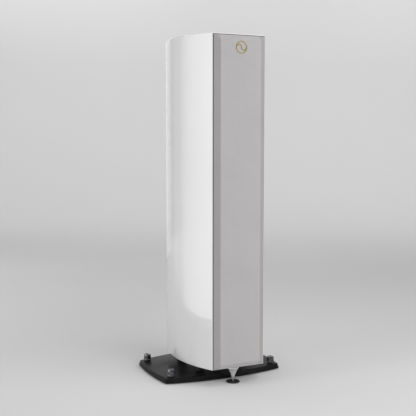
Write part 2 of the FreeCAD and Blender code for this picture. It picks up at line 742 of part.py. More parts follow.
def grille_pegs():
    pegs = []
    for x, height in peg_points():
        pegs.append(turned_y(x, 0, height, (0, -GRILLE_GAP - 4), [
            (PEG_RADIUS, -GRILLE_GAP - 4), (PEG_RADIUS, -GRILLE_GAP), (PEG_RADIUS - 0.5, -GRILLE_GAP),
            (PEG_RADIUS - 0.5, PEG_REACH - 2), cap_arc(PEG_RADIUS - 0.5, PEG_REACH - 2, PEG_REACH),
        ]))
    return Part.makeCompound(pegs)


def grille_sockets():
    """Rubber cups in the baffle that grip the pegs."""
    cups = []
    for x, height in peg_points():
        cups.append(turned_y(x, 0, height, (PEG_RADIUS + 0.1, 0), [
            (SOCKET_RADIUS, 0), (SOCKET_RADIUS, PEG_REACH + 2), (0, PEG_REACH + 2), (0, PEG_REACH + 0.5),
            (PEG_RADIUS + 0.1, PEG_REACH + 0.5),
        ]))
    return Part.makeCompound(cups)


def emblem():
    """A plain gilt ring with a wave across it."""
    back, front = -GRILLE_PROUD, -EMBLEM_FRONT
    inner = EMBLEM_RADIUS - EMBLEM_BAND
    ring = ring_y(0, front, back, EMBLEM_HEIGHT, inner, EMBLEM_RADIUS)
    reach = inner / 2 + 0.4
    half_band = EMBLEM_BAND / 2
    pieces = []
    for side in (-1, 1):
        arch = ring_y(side * reach, front, back, EMBLEM_HEIGHT, reach - half_band, reach + half_band)
        low, high = sorted((EMBLEM_HEIGHT, EMBLEM_HEIGHT - side * EMBLEM_RADIUS))
        pieces.append(arch.common(block(-EMBLEM_RADIUS, EMBLEM_RADIUS, front, back, low, high)))
    whole = ring.multiFuse(pieces + emblem_pins(1.0))
    return whole.common(rod_y(0, front, 0, EMBLEM_HEIGHT, EMBLEM_RADIUS)).removeSplitter()


# Plinth and feet

def plinth():
    x = PLINTH_HALF_WIDTH
    face = closed_face(
        (-x, PLINTH_FRONT),
        [
            ((0, PLINTH_FRONT - PLINTH_FRONT_BULGE), (x, PLINTH_FRONT)),
            ((x + PLINTH_SIDE_BULGE, (PLINTH_FRONT + PLINTH_REAR) / 2), (x, PLINTH_REAR)),
            ((0, PLINTH_BACK), (-x, PLINTH_REAR)),
            ((-x - PLINTH_SIDE_BULGE, (PLINTH_FRONT + PLINTH_REAR) / 2), (-x, PLINTH_FRONT)),
        ],
        lambda x, depth: Vector(x, FRONT_Y + depth, PLINTH_BOTTOM),
    )
    slab = face.extrude(Vector(0, 0, PLINTH_THICKNESS))
    rim = [line for line in slab.Edges if abs(line.BoundBox.ZMin - PLINTH_TOP) < 0.1]
    slab = slab.makeChamfer(PLINTH_CHAMFER, rim)
    cuts = []
    for _, lx, depth in leveller_points():
        cuts.append(rod_z(lx, depth, 0, PLINTH_TOP + 1, INSERT_RADIUS))
    for sx, depth in spacer_points():
        cuts.append(rod_z(sx, depth, 0, PLINTH_TOP + 1, ROD_RADIUS + 0.5))
        cuts.append(rod_z(sx, depth, 0, PLINTH_BOTTOM + COUNTERBORE[1], COUNTERBORE[0]))
    return slab.cut(cuts)


def plinth_spacers():
    spacers = []
    for x, depth in spacer_points():
        tube = rod_z(x, depth, PLINTH_TOP, CABINET_LIFT, SPACER_RADIUS)
        spacers.append(tube.cut(rod_z(x, depth, PLINTH_TOP, CABINET_LIFT, ROD_RADIUS + 0.5)))
    return Part.makeCompound(spacers)


def plinth_bolts():
    """Four bolts up through the plinth and the spacers into the cabinet's bottom."""
    bolts = []
    head_top = PLINTH_BOTTOM + COUNTERBORE[1]
    for x, depth in spacer_points():
        head = rod_z(x, depth, head_top - BOLT_HEAD, head_top, BOLT_HEAD_RADIUS)
        shank = rod_z(x, depth, head_top, CABINET_LIFT + INSERT_LENGTH - 2, ROD_RADIUS)
        hexagon = hexagon_z(x, depth, PLINTH_BOTTOM, PLINTH_BOTTOM + 5, KEY)
        bolts.append(head.fuse(shank).cut(hexagon).removeSplitter())
    return Part.makeCompound(bolts)


def threaded_inserts():
    """Brass inserts: four in the plinth for the spikes, five in the cabinet's bottom."""
    places = [(x, depth, PLINTH_BOTTOM) for _, x, depth in leveller_points()]
    places += [(x, depth, CABINET_LIFT) for x, depth in spacer_points() + [(0, FOOT_DEPTH)]]
    inserts = []
    for x, depth, low in places:
        tube = rod_z(x, depth, low, low + INSERT_LENGTH, INSERT_RADIUS)
        inserts.append(tube.cut(rod_z(x, depth, low, low + INSERT_LENGTH, ROD_RADIUS + RUNNING_GAP)))
    return Part.makeCompound(inserts)


def spike(x, depth):
    """A threaded rod with a point on the floor; its upper end is inside the knob."""
    top = KNOB_TOP - KNOB_CROWN - 0.5
    return turned_z(x, depth, (0, 0), [
        (SPIKE_TIP, 0), (ROD_RADIUS, SPIKE_POINT), (ROD_RADIUS, top), (0, top),
    ])


def knob(x, depth):
    """A tapered knob, dished on top round a hexagonal socket and hollow below for the lock ring."""
    low, top = KNOB_BOTTOM, KNOB_TOP
    bore, bore_top = ROD_RADIUS + RUNNING_GAP, KNOB_TOP - KNOB_CROWN
    hollow, roof = RING_RADIUS + 0.6, KNOB_BOTTOM + RING_HEIGHT
    skirt, crown = KNOB_SKIRT_RADIUS, KNOB_TOP_RADIUS
    body = turned_z(x, depth, (bore, roof), [
        (hollow, roof), (hollow, low), (skirt - 0.6, low), (skirt, low + 0.6), (skirt, low + KNOB_SKIRT),
        (crown, top - KNOB_ROUND),
        ((crown - 0.3 * KNOB_ROUND, top - 0.3 * KNOB_ROUND), (crown - KNOB_ROUND, top)),
        (crown - KNOB_ROUND - KNOB_DISH, top - KNOB_DISH), (0, top - KNOB_DISH),
        (0, bore_top), (bore, bore_top),
    ])
    return body.cut(hexagon_z(x, depth, top - KNOB_DISH - KEY_DEPTH, top, KEY))


def lock_rings():
    """Thin knurled rings that lock the spikes' rods against the plinth."""
    rings = []
    for _, x, depth in leveller_points():
        top = PLINTH_TOP + RING_HEIGHT
        ring = rod_z(x, depth, PLINTH_TOP, top, RING_RADIUS)
        rings.append(ring.cut(rod_z(x, depth, PLINTH_TOP, top, ROD_RADIUS + RUNNING_GAP)))
    return Part.makeCompound(rings)


def cone_foot():
    """A flared cone, point down, on a stud that screws into the cabinet's bottom."""
    stud_top = CABINET_LIFT + INSERT_LENGTH - 4
    return turned_z(0, FOOT_DEPTH, (0, DISC_HEIGHT), [
        (FOOT_TIP_RADIUS, DISC_HEIGHT), (FOOT_TIP_RADIUS + 0.6, DISC_HEIGHT + 3),
        ((FOOT_TOP_RADIUS * 0.47, FOOT_TOP * 0.58), (FOOT_TOP_RADIUS, FOOT_TOP - 4)),
        (FOOT_TOP_RADIUS, FOOT_TOP - 1), (FOOT_TOP_RADIUS - 1, FOOT_TOP), (ROD_RADIUS, FOOT_TOP),
        (ROD_RADIUS, stud_top), (0, stud_top),
    ])


def foot_lock_nut():
    """A thin nut on the foot's stud, tight under the cabinet."""
    low = CABINET_LIFT - NUT_HEIGHT
    nut = hexagon_z(0, FOOT_DEPTH, low, CABINET_LIFT, 17)
    return nut.cut(rod_z(0, FOOT_DEPTH, low, CABINET_LIFT, ROD_RADIUS + RUNNING_GAP))


def foot_disc():
    """The floor disc under the cone."""
    return turned_z(0, FOOT_DEPTH, (0, 0), [
        (DISC_RADIUS, 0), (DISC_RADIUS, DISC_HEIGHT - DISC_EDGE), (DISC_RADIUS - DISC_EDGE, DISC_HEIGHT),
        (0, DISC_HEIGHT),
    ])


def build():
    """Every node by name."""
    outside = cabinet_block()
    left, right = side_panels(outside)
    nodes = {
        "side_left": left,
        "side_right": right,
        "front_baffle": front_baffle(outside),
        "back_panel": back_panel(outside),
        "top_panel": end_panel(outside, CABINET_HEIGHT - END_PANEL, CABINET_HEIGHT),
        "bottom_panel": bottom_panel(outside),
        "internal_braces": internal_braces(),
        "damping_wadding": damping_wadding(),
        "bass_ports": bass_ports(),
        "crossover_board": crossover_board(),
        "crossover_inductors": crossover_inductors(),
        "crossover_capacitors": crossover_capacitors(),
        "wiring": wiring(),
        "terminal_cup": terminal_cup(),
        "terminal_posts": terminal_posts(),
        "panel_screws": panel_screws(),
        "tweeter_faceplate": tweeter_faceplate(),
        "tweeter_dome": tweeter_dome(),
        "tweeter_motor": tweeter_motor(),
        "midrange_phase_plug": phase_plug(),
        "grille_frame": grille_frame(),
        "grille_cloth": grille_cloth(),
        "grille_pegs": grille_pegs(),
        "grille_sockets": grille_sockets(),
        "emblem": emblem(),
        "plinth": plinth(),
        "plinth_spacers": plinth_spacers(),
        "plinth_bolts": plinth_bolts(),
        "threaded_inserts": threaded_inserts(),
        "lock_rings": lock_rings(),
        "cone_foot": cone_foot(),
        "foot_lock_nut": foot_lock_nut(),
        "foot_disc": foot_disc(),
    }
    cones = [("midrange", MIDRANGE[0], MIDRANGE[1], MIDRANGE[2], MIDRANGE_CONE, MIDRANGE_DEPTH,
              MIDRANGE_MOTOR, MIDRANGE_COIL, bolt_circle(MIDRANGE[0], MIDRANGE[1] - SCREW_INSET, 6, 30))]
    for name, height in WOOFERS:
        cones.append((name + "_woofer", height, WOOFER_FLANGE, WOOFER_CUTOUT, WOOFER_CONE, WOOFER_DEPTH,
                      WOOFER_MOTOR, WOOFER_COIL, bolt_circle(height, WOOFER_FLANGE - SCREW_INSET, 8, 22.5)))
    for name, height, flange, cutout, (edge, neck), depth, motor_size, coil, screws in cones:
        nodes[name + "_basket"] = basket(height, flange, cutout, edge, depth, motor_size[0], coil, screws)
        nodes[name + "_motor"] = motor(height, depth, motor_size, coil)
        nodes[name + "_cone"] = cone(height, edge, neck, depth, coil, "woofer" in name)
        nodes[name + "_surround"] = surround(height, edge)
        nodes[name + "_spider"] = spider(height, depth, coil, motor_size[0] - 12)
    for name, x, depth in leveller_points():
        nodes["spike_" + name] = spike(x, depth)
        nodes["knob_" + name] = knob(x, depth)
    for name, x in (("left", -POST_X), ("right", POST_X)):
        nodes["post_collar_" + name] = post_collar(x)
        nodes["post_cap_" + name] = post_cap(x)
    return nodes


def main():
    os.makedirs("parts", exist_ok=True)
    for name, shape in build().items():
        if not shape.isValid() or shape.Volume <= 0:
            print("check", name)
        shape.exportStep(os.path.join("parts", name + ".step"))


main()
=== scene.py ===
import json
import math

import bmesh
import bpy
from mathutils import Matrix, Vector


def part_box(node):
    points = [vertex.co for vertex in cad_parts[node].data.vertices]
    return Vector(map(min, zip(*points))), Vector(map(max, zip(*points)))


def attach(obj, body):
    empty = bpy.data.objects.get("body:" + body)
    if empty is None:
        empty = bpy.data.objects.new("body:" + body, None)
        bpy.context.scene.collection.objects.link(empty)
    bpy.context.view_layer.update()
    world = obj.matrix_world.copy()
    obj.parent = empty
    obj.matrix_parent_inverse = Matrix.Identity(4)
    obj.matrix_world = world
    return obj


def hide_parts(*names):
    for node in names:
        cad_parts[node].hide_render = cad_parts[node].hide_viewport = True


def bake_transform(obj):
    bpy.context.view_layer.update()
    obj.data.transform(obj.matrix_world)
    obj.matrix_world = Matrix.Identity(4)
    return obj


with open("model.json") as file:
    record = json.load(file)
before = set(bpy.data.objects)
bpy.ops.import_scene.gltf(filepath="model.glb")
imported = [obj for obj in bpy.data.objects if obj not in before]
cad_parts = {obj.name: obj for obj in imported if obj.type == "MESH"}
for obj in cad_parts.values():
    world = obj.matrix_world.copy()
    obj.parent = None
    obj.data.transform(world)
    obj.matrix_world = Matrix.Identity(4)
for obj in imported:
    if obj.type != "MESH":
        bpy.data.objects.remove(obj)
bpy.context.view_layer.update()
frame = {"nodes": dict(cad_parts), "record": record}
nodes = frame["nodes"]

MM = 0.001


def low(node):
    return Vector(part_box(node)[0])


def high(node):
    return Vector(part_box(node)[1])


def middle(node):
    return (low(node) + high(node)) / 2


# Places taken from the frame, in metres

FRONT = low("front_baffle").y
BACK = high("back_panel").y
CABINET_LOW = low("front_baffle").z
CABINET_HIGH = high("front_baffle").z
WIDEST = high("side_right").x
FRONT_HALF = 96 * MM                    # half the front's width
HALF_DEPTH = (BACK - FRONT) / 2
MIDDLE_Y = (FRONT + BACK) / 2
SWELL = WIDEST - FRONT_HALF
SIDE_RADIUS = (HALF_DEPTH ** 2 + SWELL ** 2) / (2 * SWELL)


# Nodes of a material

FINER = 10      # the wave texture's scale has a limit, so its coordinates are scaled as well


def named(sockets, identifier):
    """The socket with that identifier, where several have one name."""
    return next(socket for socket in sockets if socket.identifier == identifier)


class Shader:
    """A material whose nodes are added from left to right."""

    def __init__(self, name, color, roughness, metallic=0.0, **constants):
        self.material = bpy.data.materials.new(name)
        self.material.use_nodes = True
        self.tree = self.material.node_tree
        self.bsdf = self.tree.nodes["Principled BSDF"]
        self.set(base_color=(*color, 1.0), roughness=roughness, metallic=metallic, **constants)
        self.coords = self.add("ShaderNodeTexCoord").outputs["Object"]
        self.height = None

    def set(self, **values):
        for key, value in values.items():
            self.bsdf.inputs[key.replace("_", " ").title().replace("Ior", "IOR")].default_value = value

    def add(self, kind, **settings):
        node = self.tree.nodes.new(kind)
        for key, value in settings.items():
            if key in node.inputs:
                node.inputs[key].default_value = value
            else:
                setattr(node, key, value)
        return node

    def link(self, source, target):
        self.tree.links.new(source, target)

    def stretched(self, scale, turn=(0, 0, 0)):
        """The object's coordinates, in metres, scaled along each axis."""
        node = self.add("ShaderNodeMapping")
        node.inputs["Scale"].default_value = scale
        node.inputs["Rotation"].default_value = turn
        self.link(self.coords, node.inputs["Vector"])
        return node.outputs["Vector"]

    def noise(self, scale, detail=4.0, rough=0.55, vector=None):
        node = self.add("ShaderNodeTexNoise", Scale=scale, Detail=detail, Roughness=rough)
        self.link(vector or self.coords, node.inputs["Vector"])
        return node.outputs["Fac"]

    def bands(self, density, direction="X", turn=(0, 0, 0), distortion=0.0):
        """Sine bands across an axis, 0.314 / density metres apart."""
        node = self.add("ShaderNodeTexWave", Scale=density / FINER, Distortion=distortion)
        node.bands_direction = direction
        self.link(self.stretched((FINER, FINER, FINER), turn), node.inputs["Vector"])
        return node.outputs["Fac"]

    def weave(self, density, turn=(0, 0, 0)):
        """Bands along X times bands along Z."""
        return self.maths("MULTIPLY", self.bands(density, "X", turn), self.bands(density, "Z", turn))

    def cells(self, scale):
        node = self.add("ShaderNodeTexVoronoi", Scale=scale)
        self.link(self.coords, node.inputs["Vector"])
        return node.outputs["Distance"]

    def maths(self, operation, a, b=0.5):
        node = self.add("ShaderNodeMath")
        node.operation = operation
        for socket, value in zip(node.inputs, (a, b)):
            if isinstance(value, (int, float)):
                socket.default_value = value
            else:
                self.link(value, socket)
        return node.outputs["Value"]

    def spread(self, fac, from_low, from_high, to_low, to_high):
        """The values between the first two numbers, stretched to run between the last two."""
        node = self.add("ShaderNodeMapRange")
        self.link(fac, node.inputs["Value"])
        for key, value in zip(("From Min", "From Max", "To Min", "To Max"),
                              (from_low, from_high, to_low, to_high)):
            node.inputs[key].default_value = value
        return node.outputs["Result"]

    def color(self, fac, first, second, at=(0.35, 0.65)):
        """The base colour runs from first to second as fac rises between the two places."""
        node = self.add("ShaderNodeValToRGB")
        ramp = node.color_ramp
        ramp.elements[0].position, ramp.elements[1].position = at
        ramp.elements[0].color = (*first, 1.0)
        ramp.elements[1].color = (*second, 1.0)
        self.link(fac, node.inputs["Fac"])
        self.link(node.outputs["Color"], self.bsdf.inputs["Base Color"])
        return node.outputs["Color"]

    def roughness(self, fac, least, most):
        self.link(self.spread(fac, 0.3, 0.7, least, most), self.bsdf.inputs["Roughness"])

    def bump(self, fac, depth, strength=1.0):
        """Adds relief of the given depth in metres; several bumps follow each other."""
        node = self.add("ShaderNodeBump", Strength=strength, Distance=depth)
        self.link(fac, node.inputs["Height"])
        if self.height:
            self.link(self.height, node.inputs["Normal"])
        self.height = node.outputs["Normal"]
        self.link(self.height, self.bsdf.inputs["Normal"])

    def darkened(self, color, share, fac):
        """The base colour is the given one, times share where fac is 1."""
        node = self.add("ShaderNodeMix", data_type="RGBA", blend_type="MULTIPLY")
        named(node.inputs, "B_Color").default_value = (share, share, share, 1.0)
        self.link(fac, named(node.inputs, "Factor_Float"))
        self.link(color, named(node.inputs, "A_Color"))
        self.link(named(node.outputs, "Result_Color"), self.bsdf.inputs["Base Color"])


def shaded(color, amount):
    return tuple(max(0.0, min(1.0, c * amount)) for c in color)


def plain(name, color, roughness, metallic=0.0, **constants):
    """A finish with a fine grain, slight patches of colour and uneven gloss."""
    made = Shader(name, color, roughness, metallic, **constants)
    made.color(made.noise(18, 5), shaded(color, 0.88), shaded(color, 1.12))
    made.roughness(made.noise(55, 5), roughness * 0.85, min(1.0, roughness * 1.2))
    made.bump(made.noise(400, 3), 0.05 * MM)
    return made.material


def lacquer():
    """White polyester lacquer, polished: a hard clear gloss over white with a hint of orange peel."""
    white = (0.845, 0.845, 0.85)
    made = Shader("white_lacquer", white, 0.22, coat_weight=1.0, coat_roughness=0.025, coat_ior=1.5,
                  specular_ior_level=0.5)
    made.color(made.noise(3.5, 3), shaded(white, 0.985), shaded(white, 1.01))
    made.roughness(made.noise(40, 4), 0.18, 0.27)
    made.bump(made.noise(60, 2), 0.004 * MM)
    return made.material


THREADS = 1 / (1.8 * MM)            # density of the cloth's threads
# Painted shade: the cloth's colour darkens over the upright bevels between these two distances
PAINTED_SHADE_FROM = 72 * MM               # from the grille's middle, just short of its upright bevels
PAINTED_SHADE_FULL = 75 * MM               # and just past where they start


def fabric():
    """Acoustic cloth: crossing threads, a little slub along them and a soft sheen.

    Its colour is darker over the frame's upright bevels: painted shade, not a colour of the cloth.
    """
    grey = (0.495, 0.483, 0.483)
    made = Shader("grille_fabric", grey, 0.92, sheen_weight=0.25, sheen_roughness=0.45,
                  specular_ior_level=0.25)
    upright, level = made.bands(THREADS, "X"), made.bands(THREADS, "Z")
    slub_upright = made.noise(1, 4, vector=made.stretched((900, 900, 26)))
    slub_level = made.noise(1, 4, vector=made.stretched((22, 22, 900)))
    threads = made.maths("MAXIMUM", made.maths("MULTIPLY", upright, slub_upright),
                         made.maths("MULTIPLY", level, slub_level))
    mixed = made.maths("ADD", made.maths("MULTIPLY", threads, 0.75),
                       made.maths("MULTIPLY", made.noise(7, 4), 0.35))
    cloth = made.color(mixed, shaded(grey, 0.86), shaded(grey, 1.14), at=(0.15, 0.75))
    apart = made.add("ShaderNodeSeparateXYZ")
    made.link(made.coords, apart.inputs["Vector"])
    aside = made.maths("ABSOLUTE", apart.outputs["X"])
    # painted shade: the cloth is 0.8 times as bright over the upright bevels
    made.darkened(cloth, 0.80, made.spread(aside, PAINTED_SHADE_FROM, PAINTED_SHADE_FULL, 0.0, 1.0))
    made.bump(threads, 0.22 * MM, 0.8)
    made.bump(made.maths("MULTIPLY", upright, level), 0.10 * MM, 0.6)
    return made.material


def gold():
    made = Shader("emblem_gold", (0.74, 0.57, 0.16), 0.22, 1.0)
    made.color(made.noise(160, 4), (0.66, 0.50, 0.12), (0.80, 0.63, 0.20))
    made.roughness(made.noise(700, 4), 0.14, 0.30)
    made.bump(made.noise(1500, 2), 0.01 * MM)
    return made.material


def satin_black():
    """Black lacquer on fibreboard, rubbed to a satin, with faint dust and handling marks."""
    made = Shader("plinth_black", (0.010, 0.010, 0.0105), 0.4, specular_ior_level=0.13)
    made.color(made.noise(22, 6), (0.007, 0.007, 0.0072), (0.014, 0.014, 0.0145))
    made.roughness(made.noise(9, 6, 0.65), 0.32, 0.48)
    made.bump(made.noise(900, 3), 0.015 * MM)
    return made.material


def turned(name, color, roughness, coarseness=0.25, axis="Z", metallic=1.0):
    """Metal from a lathe, with rings round its axis, 0.3 mm apart for a coarseness of 1."""
    made = Shader(name, color, roughness, metallic)
    made.color(made.noise(60, 5), shaded(color, 0.9), shaded(color, 1.06))
    made.roughness(made.noise(260, 4), roughness * 0.85, roughness * 1.2)
    made.bump(made.bands(1 / (coarseness * MM), axis), 0.008 * MM)
    made.bump(made.noise(1200, 2), 0.004 * MM)
    return made.material


def gloss_black(name, color=(0.012, 0.012, 0.013), roughness=0.1, metallic=0.0):
    made = Shader(name, color, roughness, metallic, coat_weight=0.6, coat_roughness=0.04)
    made.color(made.noise(90, 4), shaded(color, 0.8), shaded(color, 1.4))
    made.roughness(made.noise(300, 4), roughness * 0.7, roughness * 1.5)
    made.bump(made.noise(700, 2), 0.006 * MM)
    return made.material


def composite():
    """Woven cone cloth under resin: a diagonal twill of two greys."""
    made = Shader("cone_composite", (0.05, 0.05, 0.052), 0.38, coat_weight=0.35, coat_roughness=0.15)
    weave = made.weave(300, turn=(0, math.radians(45), 0))
    made.color(weave, (0.022, 0.022, 0.024), (0.10, 0.10, 0.105), at=(0.1, 0.6))
    made.bump(weave, 0.12 * MM, 0.6)
    return made.material


def moulded(name, color=(0.022, 0.022, 0.023), roughness=0.5):
    made = Shader(name, color, roughness)
    made.color(made.noise(30, 5), shaded(color, 0.8), shaded(color, 1.3))
    made.bump(made.cells(1400), 0.03 * MM, 0.6)
    made.bump(made.noise(60, 3), 0.03 * MM, 0.4)
    return made.material


def rubber():
    made = Shader("surround_rubber", (0.014, 0.014, 0.014), 0.6, sheen_weight=0.1)
    made.color(made.noise(40, 5), (0.010, 0.010, 0.010), (0.024, 0.024, 0.023))
    made.bump(made.noise(500, 4), 0.02 * MM)
    return made.material


def wadding():
    made = Shader("wadding", (0.72, 0.72, 0.69), 1.0, sheen_weight=0.5, sheen_roughness=0.6)
    fibres = made.noise(1, 8, 0.7, vector=made.stretched((90, 260, 420)))
    made.color(fibres, (0.55, 0.55, 0.52), (0.82, 0.82, 0.79))
    made.bump(fibres, 1.2 * MM)
    made.bump(made.noise(45, 6), 3 * MM, 0.6)
    return made.material


def board():
    """Bare fibreboard, with fibres and flecks."""
    made = Shader("raw_board", (0.40, 0.29, 0.18), 0.85)
    flecks = made.noise(1, 8, 0.7, vector=made.stretched((260, 120, 260)))
    made.color(flecks, (0.30, 0.21, 0.13), (0.50, 0.37, 0.24))
    made.bump(flecks, 0.1 * MM)
    return made.material


def circuit():
    """Green solder mask with raised copper tracks."""
    made = Shader("circuit_board", (0.02, 0.11, 0.05), 0.35, coat_weight=0.4, coat_roughness=0.1)
    tracks = made.maths("GREATER_THAN", made.bands(60, distortion=6.0), 0.7)
    made.color(tracks, (0.015, 0.085, 0.04), (0.05, 0.19, 0.09), at=(0.4, 0.6))
    made.bump(tracks, 0.1 * MM)
    return made.material


def winding():
    """Enamelled copper wire, turn beside turn."""
    made = Shader("copper_winding", (0.66, 0.28, 0.12), 0.28, 1.0, coat_weight=0.5)
    made.color(made.noise(50, 4), (0.55, 0.21, 0.09), (0.74, 0.34, 0.16))
    made.bump(made.bands(500, "Z"), 0.4 * MM)
    return made.material


def pleated_cloth():
    made = Shader("spider_cloth", (0.5, 0.36, 0.13), 0.85)
    weave = made.weave(700)
    made.color(weave, (0.38, 0.26, 0.09), (0.60, 0.45, 0.18), at=(0.1, 0.6))
    made.bump(weave, 0.1 * MM)
    return made.material


def silk():
    made = Shader("silk_dome", (0.03, 0.03, 0.033), 0.55, sheen_weight=0.4, sheen_roughness=0.3)
    weave = made.weave(1600)
    made.color(weave, (0.02, 0.02, 0.022), (0.06, 0.06, 0.065), at=(0.1, 0.6))
    made.bump(weave, 0.04 * MM)
    return made.material


MATERIALS = {
    "white_lacquer": lacquer(),
    "grille_fabric": fabric(),
    "emblem_gold": gold(),
    "plinth_black": satin_black(),
    # the baffle's black face also paints the shadow line in the gap beside the grille
    "baffle_black": moulded("baffle_black", (0.02, 0.02, 0.02), 0.55),
    "knob_black": gloss_black("knob_black", (0.085, 0.085, 0.09), 0.13, 1.0),
    "spacer_black": moulded("spacer_black", (0.012, 0.012, 0.012), 0.6),
    "cap_plastic": gloss_black("cap_plastic", roughness=0.2),
    "foot_metal": turned("foot_metal", (0.82, 0.82, 0.82), 0.34, metallic=0.75),
    "spike_steel": turned("spike_steel", (0.56, 0.56, 0.57), 0.25, 0.625),
    "bolt_steel": turned("bolt_steel", (0.5, 0.5, 0.51), 0.3),
    "gilt_brass": turned("gilt_brass", (0.86, 0.62, 0.22), 0.18, 0.5, "Y"),
    "insert_brass": turned("insert_brass", (0.74, 0.56, 0.26), 0.3, 0.625),
    "phase_plug": turned("phase_plug", (0.72, 0.72, 0.73), 0.24, 0.2, "Y"),
    "port_plastic": moulded("port_plastic"),
    "frame_board": moulded("frame_board", (0.03, 0.03, 0.031), 0.6),
    "faceplate": moulded("faceplate", (0.045, 0.045, 0.047), 0.38),
    "cast_basket": moulded("cast_basket", (0.05, 0.05, 0.052), 0.45),
    "magnet_steel": moulded("magnet_steel", (0.10, 0.10, 0.103), 0.45),
    "surround_rubber": rubber(),
    "cone_composite": composite(),
    "spider_cloth": pleated_cloth(),
    "silk_dome": silk(),
    "wadding": wadding(),
    "raw_board": board(),
    "circuit_board": circuit(),
    "copper_winding": winding(),
    "capacitor_shell": plain("capacitor_shell", (0.66, 0.5, 0.08), 0.25, coat_weight=0.4),
    "wire_sheath": plain("wire_sheath", (0.03, 0.03, 0.03), 0.55),
    "black_steel": plain("black_steel", (0.03, 0.03, 0.03), 0.4, 1.0),
}


def dress_nodes():
    """Every CAD node takes the finish of its own slot."""
    for part in frame["record"]["subparts"]:
        material = MATERIALS[part["material_slot"]]
        node = nodes[part["node"]]
        for i in range(max(1, len(node.material_slots))):
            if node.material_slots:
                node.material_slots[i].material = material
            else:
                node.data.materials.append(material)


# Building pieces

def add_piece(name, verts, faces, slot, body, sharp=40):
    """A mesh piece with smooth shading, except across edges sharper than the given angle."""
    mesh = bpy.data.meshes.new(name)
    mesh.from_pydata([tuple(v) for v in verts], [], faces)
    made = bmesh.new()
    made.from_mesh(mesh)
    bmesh.ops.recalc_face_normals(made, faces=made.faces)
    made.to_mesh(mesh)
    made.free()
    piece = bpy.data.objects.new(name, mesh)
    bpy.context.scene.collection.objects.link(piece)
    finish_piece(piece, slot, sharp)
    if body:
        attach(piece, body)
    return piece


def finish_piece(piece, slot, sharp=40):
    mesh = piece.data
    mesh.materials.clear()
    mesh.materials.append(MATERIALS[slot])
    mesh.shade_smooth()
    mesh.set_sharp_from_angle(angle=math.radians(sharp))


def circle(radius, count):
    """Points (a, b) round the origin, from the first axis towards the second."""
    turns = [2 * math.pi * j / count for j in range(count)]
    return [(radius * math.cos(turn), radius * math.sin(turn)) for turn in turns]


def bridged(rings, cap_first=True, cap_last=True):
    """Vertices and faces of a skin over closed rings with the same number of points."""
    count = len(rings[0])
    verts = [point for ring in rings for point in ring]
    faces = []
    for i in range(len(rings) - 1):
        for j in range(count):
            k = (j + 1) % count
            faces.append((i * count + j, i * count + k, (i + 1) * count + k, (i + 1) * count + j))
    if cap_first:
        faces.append(tuple(range(count)))
    if cap_last:
        faces.append(tuple(range((len(rings) - 1) * count, len(rings) * count)))
    return verts, faces


def curve(start, bend, end, steps):
    """Points of a quadratic curve that leaves start towards bend and comes to end from there."""
    points = []
    for step in range(steps + 1):
        t = step / steps
        points.append(start * (1 - t) ** 2 + bend * 2 * t * (1 - t) + end * t ** 2)
    return points


def soften(points, reach, steps=4, closed=False, corners=None):
    """Rounds a polyline's corners. Each starts the given reach before its corner."""
    out = []
    count = len(points)
    for i, point in enumerate(points):
        point = Vector(point)
        chosen = corners is None or i in corners
        if not chosen or (not closed and i in (0, count - 1)):
            out.append(point)
            continue
        before, after = Vector(points[i - 1]), Vector(points[(i + 1) % count])
        start = point + (before - point).normalized() * min(reach, 0.45 * (before - point).length)
        end = point + (after - point).normalized() * min(reach, 0.45 * (after - point).length)
        out += curve(start, point, end, steps)
    return out


def lathe(name, profile, place, slot, body, axis="Z", segments=96, shape=None, sharp=40, joined=False):
    """Turns a profile of (radius, distance along the axis) points round an axis through place.

    shape(radius, distance, angle) may change the radius. A joined profile closes on itself.
    """
    rings = []
    for radius, along in profile:
        ring = []
        for j in range(segments if radius > 1e-7 else 1):
            angle = 2 * math.pi * j / segments
            r = shape(radius, along, angle) if shape else radius
            a, b = r * math.cos(angle), r * math.sin(angle)
            offset = Vector((a, b, along)) if axis == "Z" else Vector((a, along, b))
            ring.append(Vector(place) + offset)
        rings.append(ring)
    verts = []
    starts = []
    for ring in rings:
        starts.append(len(verts))
        verts += ring
    faces = []
    pairs = list(zip(range(len(rings) - 1), range(1, len(rings))))
    if joined:
        pairs.append((len(rings) - 1, 0))
    for a, b in pairs:
        for j in range(segments):
            k = (j + 1) % segments
            first = [starts[a]] if len(rings[a]) == 1 else [starts[a] + j, starts[a] + k]
            second = [starts[b]] if len(rings[b]) == 1 else [starts[b] + k, starts[b] + j]
            if len(first) + len(second) > 2:
                faces.append(tuple(first + second))
    return add_piece(name, verts, faces, slot, body, sharp)


# Cutting

PAST = 10 * MM                         # how far a cutter reaches past what it cuts


def cutter(rings):
    """A helper solid, never shown, that cut removes after use."""
    verts, faces = bridged(rings)
    return add_piece("cutter", verts, faces, "white_lacquer", None)


def prism(outline, z0, z1):
    return cutter([[Vector((x, y, z)) for x, y in outline] for z in (z0, z1)])


def block(lows, highs):
    outline = [(lows[0], lows[1]), (highs[0], lows[1]), (highs[0], highs[1]), (lows[0], highs[1])]
    return prism(outline, lows[2], highs[2])


def drum(x, z, radius, y0, y1, segments=96):
    """A cylinder along Y."""
    return cutter([[Vector((x + a, y, z + b)) for a, b in circle(radius, segments)] for y in (y0, y1)])


def upright_drum(x, y, radius, z0, z1):
    """A cylinder along Z."""
    return prism([(x + a, y + b) for a, b in circle(radius, 48)], z0, z1)


def cut(piece, cutters):
    """Takes the cutters away from the piece and removes them."""
    for tool in cutters:
        modifier = piece.modifiers.new("cut", "BOOLEAN")
        modifier.operation = "DIFFERENCE"
        modifier.solver = "EXACT"
        modifier.object = tool
    graph = bpy.context.evaluated_depsgraph_get()
    mesh = bpy.data.meshes.new_from_object(piece.evaluated_get(graph))
    piece.modifiers.clear()
    piece.data = mesh
    for tool in cutters:
        bpy.data.objects.remove(tool)


# Cabinet

